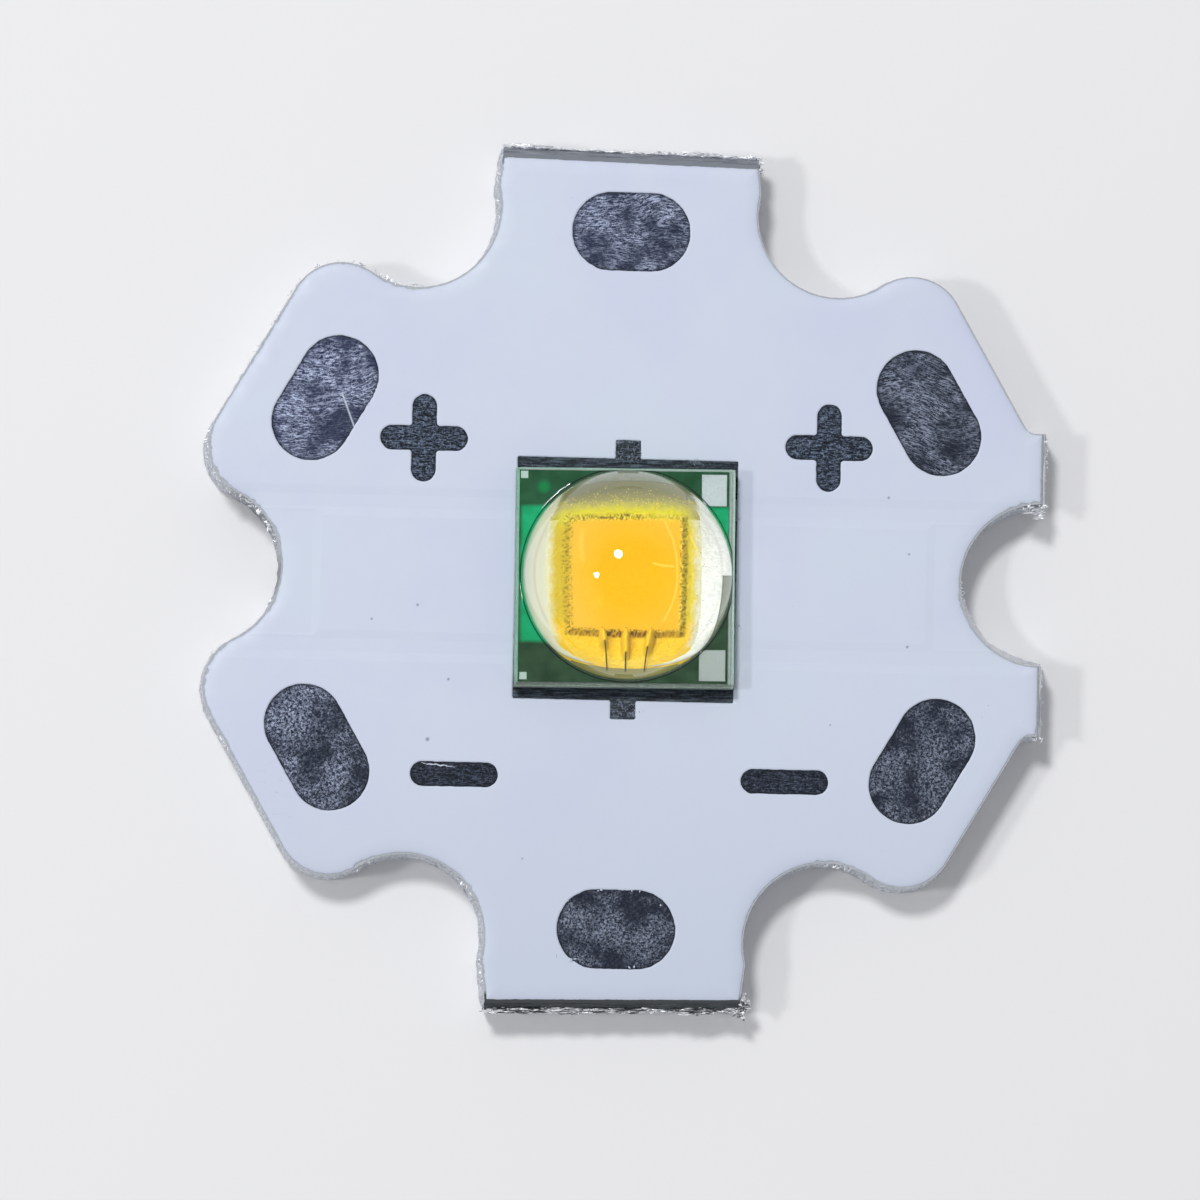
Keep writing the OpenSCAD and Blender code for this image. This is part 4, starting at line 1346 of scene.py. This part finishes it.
def phosphor_colour(x, y, dx, dy, border, finger, shadow, grain):
    out = max(dx, dy)
    wide = rough(x, y, 6.0, 1.6)
    colour = blend(ORANGE_LEFT, ORANGE, smooth_step(x + 0.3 * wide, -0.9, -0.1))
    colour = blend(colour, ORANGE_TOP, 0.5 * smooth_step(y + 0.2 * wide, 0.4, 0.8))
    band = LEMON_LOW
    if y > -0.95:
        band = blend(LEMON_LEFT, LEMON_RIGHT, smooth_step(x, -0.8, 0.8))
        band = blend(band, LEMON_TOP, smooth_step(y, 0.75, 1.05))
        band = blend(LEMON_LOW, band, smooth_step(y, -0.95, -0.55))
    colour = blend(colour, band, smooth_step(out + 0.05 * grain + 0.03 * wide, -0.07, 0.08))
    fringe = 1 - smooth_step(border + 0.04 * rough(x, y, 2.0, 5.0) + 0.02 * grain, 0.07, 0.28)
    bare = blend(FRINGE_LEFT, FRINGE_RIGHT, smooth_step(x, -0.5, 0.8))
    # Above the die the bare edge takes the olive-grey of the metal's top zone, a painted dark reflection.
    if y > 1.0:
        bare = FRINGE_TOP
    side = min(x - PHOSPHOR_AREA[0], PHOSPHOR_AREA[2] - x)
    low_edge = smooth_step(-y, 0.9, 1.3) * smooth_step(side - border, 0.02, 0.12)
    colour = blend(colour, bare, fringe * (1 - low_edge))
    # Painted light: the bright arcs.
    for points, strength, reach in LIGHT_ARCS:
        close = near_path(points, x, y)
        if close < reach:
            colour = blend(colour, GLOW, strength * (1 - smooth_step(close, 0.0, reach)))
    # Painted shade: dark specks and a soft olive smear along the die's outline stand for the shade in the
    # groove round the die, with gaps where the fingers cross.
    speckle = rough(x, y, 4.0, 26.0, 2)
    patches = 0.5 + rough(x, y, 9.0, 2.4, 2)
    top = smooth_step(y, 0.9, 1.0)
    right = smooth_step(x, 0.86, 0.96)
    bottom = smooth_step(-y, 0.82, 0.9)
    left = smooth_step(-x, 0.82, 0.92)
    reach = max(0.06, 0.085 * right, 0.09 * bottom, 0.1 * left)
    middle = 0.02 - 0.01 * right - 0.01 * bottom + 0.02 * wide
    gap_line = min(1.0, 1.6 * peak(out, middle, reach))
    between = 1.0 if -0.45 < x < 0.56 else 0.5
    amount = max(1.2 * top * patches, 0.72 * right, 1.1 * bottom * between * (0.5 + patches), 0.75 * left)
    sparse = 0.07 * max(right, left) * (1 - bottom)
    open_up = 0.2 * bottom if between == 1.0 else 0.08 * bottom
    dark = gap_line * amount * smooth_step(speckle, 0.04 + sparse - open_up, 0.2 + sparse)
    spark = gap_line * max(top, right) * smooth_step(-speckle, 0.16, 0.3)
    colour = blend(colour, GLOW, 0.6 * spark)
    dark *= 1 - smooth_step(finger, 0.1, 0.4)
    colour = blend(colour, blend(OLIVE, DEEP, 0.5 * bottom), min(0.92, dark))
    soft = peak(out, 0.02, 0.1) * max(0.5 * left, 0.3 * right, 0.6 * bottom) * 0.22
    colour = blend(colour, OLIVE, soft * (1 - top))
    colour = blend(colour, OLIVE, 0.08 * shadow * smooth_step(-y, 0.95, 1.05))
    # Painted light: a glow below the die in the lower middle.
    colour = blend(colour, GLOW, 0.4 * plateau(-y, 1.3, 1.42, 1.52, 1.62) * peak(x, 0.1, 0.7))
    return blend(colour, OLIVE, 0.7 * (peak(border, 0.03, 0.03) * smooth_step(-y, 1.25, 1.4)))


def phosphor_coat(material):
    """The phosphor over the die, its skirt on the metal and its fingers along the wires."""
    left, bottom, right, top = PHOSPHOR_AREA
    nx = round((right - left) / PHOSPHOR_STEP)
    ny = round((top - bottom) / PHOSPHOR_STEP)
    shell = Shell()
    rows = []
    for j in range(ny + 1):
        y = bottom + (top - bottom) * j / ny
        row = []
        for i in range(nx + 1):
            x = left + (right - left) * i / nx
            z, tone = phosphor_point(x, y)
            row += shell.ring([(x, y, z)], tone)
        rows.append(row)
    for low, high in zip(rows, rows[1:]):
        shell.faces += [(low[i], low[i + 1], high[i + 1], high[i]) for i in range(nx)]
    rim = rows[0] + [row[-1] for row in rows[1:]] + rows[-1][-2::-1] + [row[0] for row in rows[-2:0:-1]]
    foot = shell.ring([(*shell.vertices[k][:2], METAL_T - 0.02) for k in rim], FRINGE_LEFT)
    shell.walls([rim, foot], inward=True)
    shell.faces.append(tuple(foot[::-1]))
    piece = put("phosphor_coat", shell.seat(), material, 60)
    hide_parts("phosphor_layer")


def phosphor_grains(material):
    """Loose grains of phosphor just outside its border."""
    random = Random(5)
    left, bottom, right, top = PHOSPHOR_AREA
    shell = Shell()
    made = 0
    while made < GRAIN_COUNT:
        x = random.uniform(left - 0.3, right + 0.3)
        y = random.uniform(bottom, top + 0.45)
        border = phosphor_border(x, y)
        if border > 0.16 or y < -1.3 or (x < 0 and y < 0.9):
            continue
        spread = 0.1 if y > top - 0.1 else 0.06
        if random.random() > exp(-max(0.0, -border) / spread):
            continue
        r = random.uniform(0.005, 0.012) if y > top - 0.15 else random.uniform(0.004, 0.01)
        z = max(METAL_T, phosphor_point(x, y)[0]) + 0.4 * r
        corners = []
        for way in ((1, 0, 0), (-1, 0, 0), (0, 1, 0), (0, -1, 0), (0, 0, 1), (0, 0, -1)):
            size = r * random.uniform(0.7, 1.3)
            corners.append((x + way[0] * size, y + way[1] * size, z + way[2] * size))
        tone = blend(LEMON_TOP, GLOW, random.random())
        if x > right - 0.05:
            tone = blend(BARE_GRAIN, FRINGE_RIGHT, random.random())
        elif random.random() < 0.2:
            tone = OLIVE
        shell.octahedron(corners, tone)
        made += 1
    put("phosphor_grains", shell.seat(), material)


def fine_wires(material):
    """The bond wires, as fine as the photo shows them, along the CAD part's paths."""
    across = Vector((1.0, 0.0, 0.0))
    angles = [2 * pi * s / WIRE_SIDES for s in range(WIRE_SIDES)]
    for i, path in enumerate(WIRES):
        shell = Shell()
        rings = []
        for k, point in enumerate(path):
            before = Vector(path[max(0, k - 1)])
            after = Vector(path[min(len(path) - 1, k + 1)])
            over = (after - before).normalized().cross(across).normalized()
            section = [Vector(point) + (across * cos(a) + over * sin(a)) * WIRE_D / 2 for a in angles]
            rings.append(shell.ring([tuple(p) for p in section]))
        shell.tube(rings, inward=True)
        piece = put(f"fine_wire_{i + 1}", shell.seat(), material, 60)
        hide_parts(f"bond_wire_{i + 1}")


def dress_all():
    """Gives the nodes that stay as they are their looks."""
    looks = {
        insulating_resin(): ["dielectric_layer"],
        copper(): ["anode_copper", "thermal_copper", "cathode_copper"],
        dark_solder(): ["anode_solder", "thermal_solder", "cathode_solder", "die_attach"],
        gold(): ["anode_land", "thermal_land", "cathode_land", "package_vias"],
        ceramic(): ["led_substrate"],
        silver(): ["die_pad", "wire_pad", "test_pads"],
        green_resist(): ["green_resist"],
        die_crystal(): ["led_die"],
    }
    for material, names in looks.items():
        for name in names:
            slots = frame["nodes"][name].data.materials
            slots.clear()
            slots.append(material)


# Camera, floor and light

PIXELS_PER_MM = 43.27
PICTURE_PIXELS = 1200
CAMERA_DISTANCE = 180.0
CAMERA_LEAN = (-2.3, -3.3)
CAMERA_TURN = 1.28
AIM = (-0.539, -0.486)
FLOOR_HALF = 600.0
FLOOR_DROP = 0.01
AMBIENT = 0.4
ZENITH = 0.15


def camera():
    data = bpy.data.cameras.new("camera")
    data.sensor_width = 36.0
    data.lens = data.sensor_width * CAMERA_DISTANCE / (PICTURE_PIXELS / PIXELS_PER_MM)
    data.clip_start = 0.01
    data.clip_end = 10.0
    viewer = add_object("camera", data)
    back = Vector((tan(radians(CAMERA_LEAN[0])), tan(radians(CAMERA_LEAN[1])), 1.0)).normalized()
    up = Vector((-sin(radians(CAMERA_TURN)), cos(radians(CAMERA_TURN)), 0.0))
    right = up.cross(back).normalized()
    up = back.cross(right)
    place = Vector((AIM[0], AIM[1], MASK_TOP)) * MM + back * CAMERA_DISTANCE * MM
    viewer.matrix_world = Matrix.Translation(place) @ Matrix((right, up, back)).transposed().to_4x4()
    bpy.context.scene.camera = viewer


def floor():
    mesh = bpy.data.meshes.new("floor")
    size = FLOOR_HALF * MM
    corners = [(-size, -size), (size, -size), (size, size), (-size, size)]
    mesh.from_pydata([(x, y, -FLOOR_DROP * MM) for x, y in corners], [], [(0, 1, 2, 3)])
    mesh.materials.append(Look("floor", (0.84, 0.84, 0.85, 1.0), 0.9).material)
    add_object("floor", mesh)


def lamp(name, direction, distance, radius, watts):
    """A round soft lamp that looks at the emitter from a direction given as tangents of its slant."""
    data = bpy.data.lights.new(name, "AREA")
    data.shape = "DISK"
    data.size = 2 * radius * MM
    data.energy = watts
    light = add_object(name, data)
    light.visible_transmission = False
    away = Vector((direction[0], direction[1], 1.0)).normalized()
    light.location = away * distance * MM
    light.rotation_euler = away.to_track_quat("Z", "Y").to_euler()


def world():
    """Plain soft light, seen as white by the camera and as a dim zenith over a white horizon by mirrors."""
    made = bpy.data.worlds.new("studio")
    made.use_nodes = True
    tree = made.node_tree
    background = tree.nodes["Background"]
    background.inputs["Color"].default_value = (0.97, 0.98, 1.0, 1.0)

    def value(kind, *values, **named):
        return add_node(tree, kind, *values, **named).outputs[0]

    path = add_node(tree, "LightPath").outputs
    direction = add_node(tree, "TexCoord").outputs["Generated"]
    height = add_node(tree, "SeparateXYZ", direction).outputs["Z"]
    mirrored = value("MapRange", height, 0.35, 0.85, 1.0, ZENITH)
    unscattered = value("Math", path["Diffuse Depth"], 0.5, operation="LESS_THAN")
    through = value("Math", path["Is Transmission Ray"], unscattered, operation="MULTIPLY")
    shown = value("Math", path["Is Glossy Ray"], through, operation="MAXIMUM")
    plain = value("MapRange", path["Is Transmission Ray"], 0.0, 1.0, AMBIENT, 0.0)
    strength = value("MapRange", shown, 0.0, 1.0, plain, mirrored)
    strength = value("MapRange", path["Is Camera Ray"], 0.0, 1.0, strength, 1.0)
    tree.links.new(strength, background.inputs["Strength"])
    bpy.context.scene.world = made


camera()
floor()
world()
lamp("upper_lamp", (-0.234, 0.36), 300.0, 23.0, 0.42)
lamp("left_lamp", (-0.726, -0.067), 300.0, 16.0, 0.16)
dress_all()
board_core(aluminium())
edge_burrs(torn_aluminium())
solder_crumbs(bright_solder())
white = white_mask()
mask_skin(white)
mask_sliver(white)
pad_films(pad_metal())
yellow = phosphor()
phosphor_coat(yellow)
phosphor_grains(yellow)
fine_wires(wire_gold())
dome(clear_silicone())

bpy.context.scene.view_settings.view_transform = "Standard"
